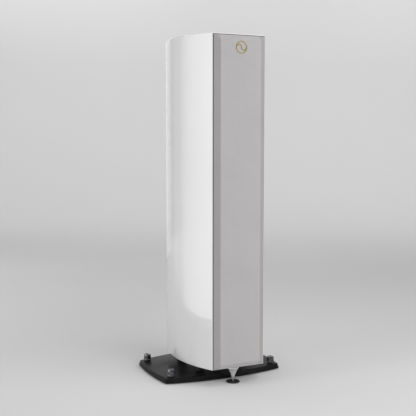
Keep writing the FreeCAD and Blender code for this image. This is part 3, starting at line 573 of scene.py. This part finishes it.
WALL = 18 * MM
EDGE = 2.0 * MM                        # radius of the rounding along the cabinet's edges
EDGE_STEPS = 5
TOP_EASE = 4.8 * MM                    # how far down from the top its rounding reaches
LEAST_CORNER = 0.2 * MM
SIDE_STEPS = 48
BAFFLE_BACK = high("front_baffle").y
BACK_INSIDE = low("back_panel").y      # the back panel's inner face

FLANGE_GAP = 0.4 * MM                  # between a driver's flange and its recess
FLANGE_RECESS = 5 * MM
CUTOUTS = {"midrange": 64 * MM, "upper_woofer": 72 * MM, "lower_woofer": 72 * MM}
TWEETER_CUTOUT = 38 * MM
PORT_FLANGE = 42 * MM
PORT_TUBE = 33 * MM
PORT_GAP = 0.1 * MM
PORT_RECESS = 3 * MM
PORTS = [low("bass_ports").z + PORT_FLANGE, high("bass_ports").z - PORT_FLANGE]
SOCKET_RADIUS = 7.05 * MM              # of the holes for the grille's sockets
SOCKET_DEPTH = 14 * MM
PEG_X = 84 * MM
PEGS = [CABINET_LOW + height * MM for height in (40, 380, 765, 1055)]
CUP_RIM = 12 * MM                      # the terminal cup's flange, outside its opening


def side_x(y, inset):
    """Half the cabinet's width at y, on a bowed side moved in by inset."""
    centre = SIDE_RADIUS - WIDEST
    return math.sqrt((SIDE_RADIUS - inset) ** 2 - (y - MIDDLE_Y) ** 2) - centre


def barrel(y0, y1, inset, corner):
    """The cabinet's outline from above between y0 and y1, with its sides moved in and its corners rounded."""
    side = [y0 + (y1 - y0) * i / SIDE_STEPS for i in range(SIDE_STEPS + 1)]
    points = [(side_x(y, inset), y) for y in side] + [(-side_x(y, inset), y) for y in reversed(side)]
    count = SIDE_STEPS + 1
    corners = {0, count - 1, count, 2 * count - 1}
    return soften(points, max(corner, LEAST_CORNER), 5, True, corners)


def stepped_hole(z, radius, recess_radius, recess):
    """Cutters for a hole through the baffle and a recess round it."""
    return [drum(0, z, radius, FRONT - PAST, BAFFLE_BACK + PAST),
            drum(0, z, recess_radius, FRONT - PAST, FRONT + recess)]


def cabinet_cutters():
    """The inside of the cabinet and the cut-outs for everything that fits in it."""
    inside = barrel(BAFFLE_BACK, BACK_INSIDE, WALL, 0.3 * MM)
    cutters = [prism(inside, high("bottom_panel").z, low("top_panel").z)]
    flanges = [(name + "_basket", radius) for name, radius in CUTOUTS.items()]
    for node, radius in flanges + [("tweeter_faceplate", TWEETER_CUTOUT)]:
        cutters += stepped_hole(middle(node).z, radius, high(node).x + FLANGE_GAP, FLANGE_RECESS)
    for z in PORTS:
        cutters += stepped_hole(z, PORT_TUBE + PORT_GAP, PORT_FLANGE + PORT_GAP, PORT_RECESS)
    for x in (-PEG_X, PEG_X):
        for z in PEGS:
            cutters.append(drum(x, z, SOCKET_RADIUS, FRONT - PAST, FRONT + SOCKET_DEPTH, 32))
    cup_low, cup_high = low("terminal_cup"), high("terminal_cup")
    cutters.append(block((cup_low.x + CUP_RIM, BACK_INSIDE - PAST, cup_low.z + CUP_RIM),
                         (cup_high.x - CUP_RIM, BACK + PAST, cup_high.z - CUP_RIM)))
    return cutters


def cabinet_shell():
    """The six lacquered panels as one hollow shell, with the baffle's face black behind the grille; that
    black also paints the shadow line in the gap at the grille's edge.
    """
    rings = []
    for i in range(EDGE_STEPS + 1):
        angle = math.radians(90 - 90 * i / EDGE_STEPS)
        inset = EDGE * (1 - math.cos(angle))
        z = CABINET_LOW + EDGE * (1 - math.sin(angle))
        outline = barrel(FRONT + inset, BACK - inset, inset, EDGE * 1.3 - inset)
        rings.append([Vector((x, y, z)) for x, y in outline])
    for ring in list(reversed(rings)):
        drop = (ring[0].z - CABINET_LOW) * TOP_EASE / EDGE
        rings.append([Vector((p.x, p.y, CABINET_HIGH - drop)) for p in ring])
    verts, faces = bridged(rings)
    shell = add_piece("cabinet_shell", verts, faces, "white_lacquer", "cabinet", 25)
    cut(shell, cabinet_cutters())
    finish_piece(shell, "white_lacquer", 25)
    # black baffle face, also painted shade: it darkens the gap line between the cabinet's edge and the grille
    shell.data.materials.append(MATERIALS["baffle_black"])
    for face in shell.data.polygons:
        if face.normal.y < -0.99 and face.center.y < FRONT + 0.1 * MM:
            face.material_index = 1
    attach(shell, "cabinet")
    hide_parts("side_left", "side_right", "front_baffle", "back_panel", "top_panel", "bottom_panel")


# Grille

CLOTH = 0.7 * MM                       # the cloth's thickness
ACROSS, ALONG = 30, 170                # cells of the cloth's face
TURN_IN = 3.5 * MM                     # cloth turned in behind the frame
SIDE_BAND = 2 * MM                     # the frame's upright edge, behind its bevels
BEVEL_X, BEVEL_Z = 19.5 * MM, 16 * MM  # how far in the bevels reach
FACE_MARGIN = 3 * MM                   # from the bevel's end to the face's cells

# The frame's windows: lower and upper edges above the cabinet's underside, in millimetres
WINDOWS = ((66, 232), (248, 390), (410, 587.5), (601.5, 760), (774, 916), (930, 1028))
WINDOW_HALF = 66 * MM
SAG = 0.12 * MM
SAG_EASE = 12 * MM                     # how far from a window's edge the sag is complete


def grille_cloth():
    """Cloth pulled over the frame's face and bevels and turned in behind its edge."""
    lows, highs = low("grille_cloth"), high("grille_cloth")
    half, z0, z1 = highs.x, lows.z, highs.z
    rings = [rectangle(half - inset_x, z0 + inset_z, z1 - inset_z, y)
             for inset_x, inset_z, y in section_path(highs.y, lows.y)]
    verts, faces = bridged(rings, False, False)
    edge = rings[-1]
    start = len(verts) - len(edge)
    grid = {place: start + j for j, place in enumerate(rectangle_places())}
    corner, far = edge[0], edge[ACROSS + ALONG]
    for u in range(1, ACROSS):
        for v in range(1, ALONG):
            x = corner.x + (far.x - corner.x) * u / ACROSS
            z = corner.z + (far.z - corner.z) * v / ALONG
            grid[u, v] = len(verts)
            verts.append(Vector((x, corner.y + sag(x, z), z)))
    for u in range(ACROSS):
        for v in range(ALONG):
            faces.append((grid[u, v], grid[u + 1, v], grid[u + 1, v + 1], grid[u, v + 1]))
    cloth = add_piece("grille_cloth_sheet", verts, faces, "grille_fabric", "grille", 60)
    solid = cloth.modifiers.new("thickness", "SOLIDIFY")
    solid.thickness = CLOTH
    solid.offset = -1
    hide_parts("grille_cloth")


def section_path(back_y, face_y):
    """The cloth's section from its turned-in edge to the face: (inset in X, inset in Z, y)."""
    behind = back_y + 0.1 * MM
    corners = [(TURN_IN, TURN_IN, behind), (0, 0, behind), (0, 0, back_y - SIDE_BAND),
               (BEVEL_X, BEVEL_Z, face_y), (BEVEL_X + FACE_MARGIN, BEVEL_Z + FACE_MARGIN, face_y)]
    reaches = (0, 0.5 * MM, 1.2 * MM, 1.6 * MM, 0)
    rounded = []
    for i, (corner, reach) in enumerate(zip(corners, reaches)):
        if reach:
            turned = soften([corners[i - 1], corner, corners[i + 1]], reach)
            rounded += [tuple(p) for p in turned[1:-1]]
        else:
            rounded.append(corner)
    return rounded


def rectangle_places():
    """Cell numbers (across, along) once round the face's edge, from the lower left corner."""
    places = [(u, 0) for u in range(ACROSS)]
    places += [(ACROSS, v) for v in range(ALONG)]
    places += [(u, ALONG) for u in range(ACROSS, 0, -1)]
    places += [(0, v) for v in range(ALONG, 0, -1)]
    return places


def rectangle(half, z0, z1, y):
    """An upright rectangle of points, from its lower left corner."""
    return [Vector((-half + 2 * half * u / ACROSS, y, z0 + (z1 - z0) * v / ALONG))
            for u, v in rectangle_places()]


def sag(x, z):
    """How far the cloth sinks where no rail of the frame backs it."""
    side = min(1.0, max(0.0, (WINDOW_HALF - abs(x)) / SAG_EASE))
    for start, end in WINDOWS:
        z0, z1 = CABINET_LOW + start * MM, CABINET_LOW + end * MM
        if z0 < z < z1:
            upright = min(1.0, (z - z0) / SAG_EASE, (z1 - z) / SAG_EASE)
            share = min(side, upright)
            return SAG * share * share * (3 - 2 * share)
    return 0.0


def band_section(inner, outer, front, back):
    """The section of a flat band with its front edges eased, as (across, y) points."""
    return [(inner, back), (inner, front + 0.4 * MM), (inner + 0.5 * MM, front),
            (outer - 0.5 * MM, front), (outer, front + 0.4 * MM), (outer, back)]


def emblem():
    """A gilt ring with a wave across it, both flat bands."""
    place = middle("emblem")
    front, back = low("emblem").y, low("grille_cloth").y
    radius = high("emblem").x
    band = 2.6 * MM
    ring = lathe("emblem_ring", band_section(radius - band, radius, front, back), (0, 0, place.z),
                 "emblem_gold", "grille", "Y", 128, joined=True)
    reach = (radius - band) / 2 + 0.3 * MM
    steps = 24
    spine = []
    for i in range(steps + 1):
        angle = math.pi * (1 - i / steps)
        spine.append((-reach + reach * math.cos(angle), reach * math.sin(angle)))
    for i in range(1, steps + 1):
        angle = math.pi * (1 + i / steps)
        spine.append((reach + reach * math.cos(angle), reach * math.sin(angle)))
    section = band_section(-band / 2, band / 2, front, back)
    rings = []
    for i, (x, z) in enumerate(spine):
        ahead = spine[min(i + 1, len(spine) - 1)]
        behind = spine[max(i - 1, 0)]
        along = Vector((ahead[0] - behind[0], 0, ahead[1] - behind[1])).normalized()
        side = Vector((-along.z, 0, along.x))
        rings.append([Vector((x, 0, place.z + z)) + side * s + Vector((0, y, 0)) for s, y in section])
    verts, faces = bridged(rings)
    add_piece("emblem_wave", verts, faces, "emblem_gold", "grille", 30)
    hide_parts("emblem")


# Suspensions of the drivers

ROLL_WIDTH = 8.8 * MM              # from the section's origin, near the cone's edge, to the outer edge
ROLL_MIDDLE = 4.6                  # the half-roll's middle, in millimetres from the same origin
WOOFER_COIL = 16.8 * MM            # inner radius of the centring ring
CORRUGATIONS = 4
RING_THICKNESS = 0.6 * MM


def half_roll(radius, base, rise, degrees):
    """Points of a half-roll's section at the given angles, in millimetres."""
    angles = [math.radians(degree) for degree in degrees]
    return [(ROLL_MIDDLE + radius * math.cos(angle), base - rise * math.sin(angle)) for angle in angles]


def roll(name):
    """A rubber half-roll, glued behind the cone's edge and held by the basket; its inner wall gives."""
    node = name + "_surround"
    edge = high(node).x - ROLL_WIDTH
    profile = [(0.2, 4.4), (0.2, 3.7), (1.7, 3.7), (1.7, 2.6), (1.7, 1.5), (1.7, 0.4)]
    profile += half_roll(2.9, 0.3, 3.0, range(165, 0, -15))
    profile += [(7.5, 0.3), (8.6, 0.3), (8.7, 0.5), (8.7, 1.2), (6.7, 1.2)]
    profile += half_roll(2.1, 0.9, 2.4, range(30, 180, 30))
    profile += [(2.5, 1.2), (2.5, 2.6), (2.5, 4.4)]
    points = [(edge + r * MM, FRONT + y * MM) for r, y in profile]
    piece = lathe(name + "_roll", points, (0, 0, middle(node).z), "surround_rubber", None,
                  "Y", 128, sharp=50, joined=True)
    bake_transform(piece)
    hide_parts(node)


def centring_ring(name):
    """The corrugated cloth ring, low enough to leave the cone's neck its travel."""
    node = name + "_spider"
    outer, back = high(node).x, high(node).y
    steps = 48
    front = []
    for i in range(steps + 1):
        share = i / steps
        wave = 0.75 * MM * math.sin(2 * math.pi * CORRUGATIONS * share)
        front.append((WOOFER_COIL + (outer - WOOFER_COIL) * share, back - 1.45 * MM - wave))
    points = front + [(r, y + RING_THICKNESS) for r, y in reversed(front)]
    piece = lathe(name + "_centring_ring", points, (0, 0, middle(node).z), "spider_cloth", "cabinet",
                  "Y", sharp=60, joined=True)
    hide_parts(node)


# Plinth

PLINTH_CORNER_X = 218.5 * MM
PLINTH_CORNER_FRONT = FRONT + 102.5 * MM
PLINTH_CORNER_REAR = FRONT + 357 * MM
ARC_STEPS = 40                         # along each bowed edge
LEDGE = 7.5 * MM                       # the step's height above the underside
LEVELLER_HOLE = 6.5 * MM
SPACER_RADIUS = 16 * MM
SPACER_X = high("plinth_spacers").x - SPACER_RADIUS
SPACER_Y = (low("plinth_spacers").y + SPACER_RADIUS, high("plinth_spacers").y - SPACER_RADIUS)
BOLT_POCKET = 8 * MM                   # radius of the pocket under each spacer
BOLT_POCKET_DEPTH = 7 * MM
LEVELLERS = ("front_left", "front_right", "rear_left", "rear_right")


def arc_between(start, end, bulge):
    """Points from start up to, but not including, end, along an arc that bulges to the right of the way."""
    start, end = Vector(start), Vector(end)
    chord = end - start
    radius = (chord.length ** 2 / 4 + bulge ** 2) / (2 * bulge)
    out = Vector((chord.y, -chord.x)).normalized()
    centre = (start + end) / 2 + out * (bulge - radius)
    half = math.asin(chord.length / 2 / radius)
    points = []
    for i in range(ARC_STEPS):
        angle = -half + 2 * half * i / ARC_STEPS
        points.append(centre + (out * math.cos(angle) + chord.normalized() * math.sin(angle)) * radius)
    return points


def plinth_outline(inset):
    """The plinth's outline from above, moved in by inset: four bowed edges between rounded corners."""
    x = PLINTH_CORNER_X - inset
    y0, y1 = PLINTH_CORNER_FRONT + inset, PLINTH_CORNER_REAR - inset
    lows, highs = low("plinth"), high("plinth")
    points = arc_between((-x, y0), (x, y0), y0 - lows.y - inset)
    points += arc_between((x, y0), (x, y1), highs.x - inset - x)
    points += arc_between((x, y1), (-x, y1), highs.y - inset - y1)
    points += arc_between((-x, y1), (-x, y0), highs.x - inset - x)
    return soften(points, 2.5 * MM, 3, True, {corner * ARC_STEPS for corner in range(4)})


def plinth():
    """A slab with bowed edges, a step along its side and an eased top edge."""
    z0, z1 = low("plinth").z, high("plinth").z
    ledge = z0 + LEDGE
    steps = [(0.6 * MM, z0), (0, z0 + 0.6 * MM), (0, ledge - 0.5 * MM), (0.4 * MM, ledge),
             (2.2 * MM, ledge + 0.2 * MM), (2.4 * MM, z1 - 2.2 * MM), (2.6 * MM, z1 - 1.5 * MM),
             (3.4 * MM, z1 - 0.6 * MM), (4.2 * MM, z1 - 0.1 * MM), (4.9 * MM, z1)]
    rings = [[Vector((p.x, p.y, z)) for p in plinth_outline(inset)] for inset, z in steps]
    verts, faces = bridged(rings)
    slab = add_piece("plinth_slab", verts, faces, "plinth_black", "cabinet", 35)
    cutters = []
    for name in LEVELLERS:
        centre = middle("spike_" + name)
        cutters.append(upright_drum(centre.x, centre.y, LEVELLER_HOLE, z0 - PAST, z1 + PAST))
    for x in (-SPACER_X, SPACER_X):
        for y in SPACER_Y:
            cutters.append(upright_drum(x, y, BOLT_POCKET, z0 - PAST, z0 + BOLT_POCKET_DEPTH))
    cut(slab, cutters)
    finish_piece(slab, "plinth_black", 35)
    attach(slab, "cabinet")
    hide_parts("plinth")


# Levelling knobs and spikes

THREAD_PITCH = 1.25 * MM
KNOB_BORE = 4.05 * MM
KNOB_HOLLOW = 10.6 * MM                # radius of the space for the lock ring
KNOB_HOLLOW_HEIGHT = 3 * MM
KNOB_CROWN = 5.8 * MM                  # metal left above the bore
KNOB_DOME = 6.5 * MM                   # height of the rounding below the top
WALL_STEPS = 8
DOME_STEPS = 10
FLUTES = 30
FLUTE_DEPTH = 0.35 * MM
HEXAGON = 3.46 * MM                    # the socket's radius to its corners
HEXAGON_DEPTH = 3.8 * MM


def knob(name):
    """A domed, finely fluted knob, dished on top round a hexagonal socket."""
    node = "knob_" + name
    place = middle(node)
    z0, z1 = low(node).z, high(node).z
    skirt = high(node).x - place.x
    shoulder = skirt - 1.1 * MM        # the fluted wall's radius at its foot
    upper = shoulder - 0.5 * MM        # and where the dome starts
    crown = skirt - 4.6 * MM           # where the dome ends
    roof, inner_top = z0 + KNOB_HOLLOW_HEIGHT, z1 - KNOB_CROWN
    wall_low, wall_high = z0 + 4.6 * MM, z1 - KNOB_DOME
    profile = [(0, inner_top), (KNOB_BORE, inner_top), (KNOB_BORE, roof), (KNOB_HOLLOW, roof),
               (KNOB_HOLLOW, z0), (skirt - 0.7 * MM, z0), (skirt - 0.2 * MM, z0 + 0.2 * MM),
               (skirt, z0 + 0.7 * MM), (skirt, z0 + 3.1 * MM), (skirt - 0.2 * MM, z0 + 3.6 * MM),
               (skirt - 0.9 * MM, z0 + 4.2 * MM)]
    for i in range(WALL_STEPS + 1):
        share = i / WALL_STEPS
        profile.append((shoulder + (upper - shoulder) * share, wall_low + (wall_high - wall_low) * share))
    for i in range(1, DOME_STEPS + 1):
        angle = math.radians(90 * i / DOME_STEPS)
        profile.append((crown + (upper - crown) * math.cos(angle), z1 - KNOB_DOME * (1 - math.sin(angle))))
    profile += [(crown - 0.7 * MM, z1 - 0.2 * MM), (crown - 1.7 * MM, z1 - 1.0 * MM), (0, z1 - 1.2 * MM)]

    def fluted(r, z, angle):
        if r < crown or not z0 + 4.4 * MM <= z <= z1 - 5.5 * MM:
            return r
        return r - FLUTE_DEPTH * abs(math.sin(angle * FLUTES / 2)) ** 4

    piece = lathe("domed_knob_" + name, profile, (place.x, place.y, 0), "knob_black", "knob_" + name,
                  segments=180, shape=fluted, sharp=35)
    hexagon = [(place.x + a, place.y + b) for a, b in circle(HEXAGON, 6)]
    cut(piece, [prism(hexagon, z1 - HEXAGON_DEPTH, z1 + PAST)])
    finish_piece(piece, "knob_black", 35)
    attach(piece, "knob_" + name)
    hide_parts(node)


def thread(root, crest, z, top, root_shift=0.0):
    """A thread's section from z to near the top, as (radius, z) points of roots and crests in turn.

    The roots lie root_shift higher than evenly spaced ones.
    """
    points = []
    while z < top - THREAD_PITCH:
        points += [(root, z + root_shift), (crest, z + THREAD_PITCH / 2)]
        z += THREAD_PITCH
    return points


def spike(name):
    """A threaded rod with a turned point."""
    node = "spike_" + name
    place = middle(node)
    top = high(node).z
    radius = high(node).x - place.x
    root = radius - 0.45 * MM
    profile = [(0, 0), (0.5 * MM, 0.05 * MM), (0.8 * MM, 0.5 * MM), (radius - 0.25 * MM, 11.6 * MM)]
    profile += thread(root, radius, 12 * MM, top)
    profile += [(root, top - 0.1 * MM), (0, top)]
    piece = lathe("threaded_spike_" + name, profile, (place.x, place.y, 0), "spike_steel",
                  "leveller_" + name, segments=48)
    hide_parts(node)


# Front foot

FOOT_RADIUS = 20 * MM
FOOT_TIP = 2.2 * MM
STUD_ROOT, STUD_RADIUS = 3.6 * MM, 4 * MM


def cone_foot():
    """The flared foot, turned from bar, with its threaded stud."""
    place = middle("foot_disc")
    top = low("foot_lock_nut").z - 3.4 * MM
    z0 = high("foot_disc").z
    stud_top = high("cone_foot").z
    flare = curve(Vector((FOOT_TIP + 0.6 * MM, z0 + 3 * MM)), Vector((FOOT_RADIUS * 0.36, top * 0.62)),
                  Vector((FOOT_RADIUS, top - 4 * MM)), 14)
    profile = [(0, z0), (FOOT_TIP - 0.6 * MM, z0), (FOOT_TIP, z0 + 0.6 * MM)]
    profile += [tuple(p) for p in flare]
    profile += [(FOOT_RADIUS, top - 1 * MM), (FOOT_RADIUS - 0.3 * MM, top - 0.3 * MM),
                (FOOT_RADIUS - 1 * MM, top), (STUD_RADIUS, top)]
    profile += thread(STUD_ROOT, STUD_RADIUS, top, stud_top, 0.1 * MM)
    profile += [(STUD_ROOT, stud_top), (0, stud_top)]
    piece = lathe("flared_foot", profile, (place.x, place.y, 0), "foot_metal", "foot_turn", sharp=35)
    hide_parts("cone_foot")


def foot_disc():
    """The black floor disc, dished in the middle where the cone stands."""
    place = middle("foot_disc")
    radius, top = high("foot_disc").x, high("foot_disc").z
    profile = [(0, 0), (radius - 0.8 * MM, 0), (radius, 0.8 * MM), (radius, top - 1.6 * MM),
               (radius - 0.4 * MM, top - 0.6 * MM), (radius - 1.5 * MM, top), (6 * MM, top),
               (5.5 * MM, top - 0.3 * MM), (0, top - 0.05 * MM)]
    piece = lathe("floor_disc", profile, (place.x, place.y, 0), "spacer_black", "foot_height")
    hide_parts("foot_disc")


# The stage, in metres

CAMERA_PLACE = Vector((-1.24133, FRONT - 2.35684, CABINET_LOW + 0.77167))
CAMERA_PITCH = 5.082                   # degrees, downwards
CAMERA_HEADING = -25.609               # degrees round Z from +Y
SENSOR = 36.0                          # width in millimetres
FOCAL_TO_WIDTH = 812.35 / 416          # the focal length as a share of the frame's width
FLOOR_HALF = 30.0
FLOOR_DEPTH = 4.4                      # from the speaker to where the floor starts to rise
WALL_CURVE = 1.6                       # radius between the floor and a wall
WALL_HEIGHT = 6.0
FAR_WALL = 6.3                         # the round wall's radius at its foot
FAR_WALL_HEIGHT = 7.0


def camera():
    data = bpy.data.cameras.new("camera")
    data.sensor_width = SENSOR
    data.lens = SENSOR * FOCAL_TO_WIDTH
    data.clip_end = 100
    eye = bpy.data.objects.new("camera", data)
    eye.location = CAMERA_PLACE
    eye.rotation_euler = (math.radians(90 - CAMERA_PITCH), 0, math.radians(CAMERA_HEADING))
    bpy.context.scene.collection.objects.link(eye)
    bpy.context.scene.camera = eye


def rising(distance, height):
    """The section of a floor that curves up into a wall at the given distance."""
    section = []
    for i in range(1, 13):
        angle = math.radians(90 * i / 12)
        section.append((distance + WALL_CURVE * math.sin(angle), WALL_CURVE * (1 - math.cos(angle))))
    return section + [(distance + WALL_CURVE, height)]


def stage_piece(name, verts, faces, material):
    mesh = bpy.data.meshes.new(name)
    mesh.from_pydata(verts, [], faces)
    mesh.shade_smooth()
    mesh.materials.append(material)
    piece = bpy.data.objects.new(name, mesh)
    bpy.context.scene.collection.objects.link(piece)
    return piece


def stage():
    """A pale floor that sweeps up into a wall behind."""
    section = [(-FLOOR_HALF, 0.0), (FLOOR_DEPTH, 0.0)] + rising(FLOOR_DEPTH, WALL_HEIGHT)
    verts = [(x, y, z) for y, z in section for x in (-FLOOR_HALF, FLOOR_HALF)]
    faces = [(2 * i, 2 * i + 1, 2 * i + 3, 2 * i + 2) for i in range(len(section) - 1)]
    made = Shader("stage", (0.75, 0.75, 0.75), 0.75, specular_ior_level=0.2)
    made.color(made.noise(0.8, 3), (0.745, 0.745, 0.745), (0.755, 0.755, 0.755))
    floor = stage_piece("stage", verts, faces, made.material)
    floor.rotation_euler = (0, 0, math.radians(CAMERA_HEADING))
    far_wall(made.material)


def far_wall(material):
    """A round wall outside the stage, for the other views. It neither shades nor lights anything."""
    section = [(FAR_WALL, 0.001)] + rising(FAR_WALL, FAR_WALL_HEIGHT)
    rings = [[(x, y, z) for x, y in circle(r, 96)] for r, z in section]
    verts, faces = bridged(rings, False, False)
    wall = stage_piece("far_wall", verts, faces, material)
    wall.visible_diffuse = False
    wall.visible_glossy = False
    wall.visible_shadow = False


def softbox(name, place, target, size, power, diffuse=True, glossy=True, spread=180):
    """A rectangular light, which the camera itself never sees."""
    data = bpy.data.lights.new(name, "AREA")
    data.shape = "RECTANGLE"
    data.size, data.size_y = size
    data.energy = power
    data.spread = math.radians(spread)
    lamp = bpy.data.objects.new(name, data)
    lamp.location = place
    lamp.rotation_euler = (Vector(target) - Vector(place)).to_track_quat("-Z", "Y").to_euler()
    lamp.visible_diffuse = diffuse
    lamp.visible_glossy = glossy
    lamp.visible_camera = False
    bpy.context.scene.collection.objects.link(lamp)


def along_view(right, away, height):
    """A place given across and along the camera's line of sight, counted from the speaker."""
    heading = math.radians(-CAMERA_HEADING)
    forward = Vector((math.sin(heading), math.cos(heading), 0))
    across = Vector((math.cos(heading), -math.sin(heading), 0))
    return across * right + forward * away + Vector((0, 0, height))


def lights():
    """Each softbox has its place, its target, its size and its power in watts.

    Those without gloss light the speaker. Those without diffuse light are seen only in its finish.
    """
    softbox("overhead", along_view(1.2, -0.9, 2.4), along_view(1.1, -0.8, 0), (1.2, 1.2), 7,
            glossy=False, spread=120)
    softbox("front", (0.4, -4.2, 1.6), (0, 0, 0.6), (2.4, 2.0), 50, glossy=False)
    softbox("key", (2.4, -2.6, 2.0), (0, -0.1, 0.6), (1.6, 1.8), 16, glossy=False)
    softbox("left", along_view(-2.4, -1.3, 2.2), (0, 0, 0.4), (0.9, 0.9), 14, glossy=False)
    softbox("fill", (-1.6, 2.6, 1.2), (0, 0.1, 0.55), (1.6, 2.0), 14, glossy=False)
    softbox("knob_sheen", along_view(-1.0, 0.9, 2.6), (0, 0, 0), (1.0, 1.0), 8, diffuse=False)
    softbox("rear_card", (0.78, 2.6, 0.8), (0.78, 0, 0.8), (2.8, 2.6), 4.2, diffuse=False)
    softbox("side_panel", (-0.75, 0.685, 0.86), (0, 0.685, 0.86), (2.07, 1.7), 3,
            diffuse=False, spread=165)
    softbox("side_glow", (-0.78, 0.685, 0.86), (0, 0.685, 0.86), (2.11, 1.74), 10,
            diffuse=False, spread=112)
    softbox("wall_left", along_view(-2.0, 4.0, 3.6), along_view(-2.0, 6.0, 2.4), (4.0, 0.8), 42,
            glossy=False)
    softbox("wall_right", along_view(2.4, 4.0, 3.0), along_view(2.2, 6.0, 1.2), (3.0, 0.8), 24,
            glossy=False)
    world = bpy.data.worlds.new("room")
    world.use_nodes = True
    background = world.node_tree.nodes["Background"]
    background.inputs["Color"].default_value = (1.0, 1.0, 1.0, 1.0)
    background.inputs["Strength"].default_value = 0.46
    bpy.context.scene.world = world
    bpy.context.scene.view_settings.view_transform = "Standard"


camera()
stage()
lights()
dress_nodes()
cabinet_shell()
grille_cloth()
emblem()
plinth()
for leveller in LEVELLERS:
    knob(leveller)
    spike(leveller)
cone_foot()
foot_disc()
for driver in ("upper_woofer", "lower_woofer", "midrange"):
    roll(driver)
for driver in ("upper_woofer", "lower_woofer"):
    centring_ring(driver)
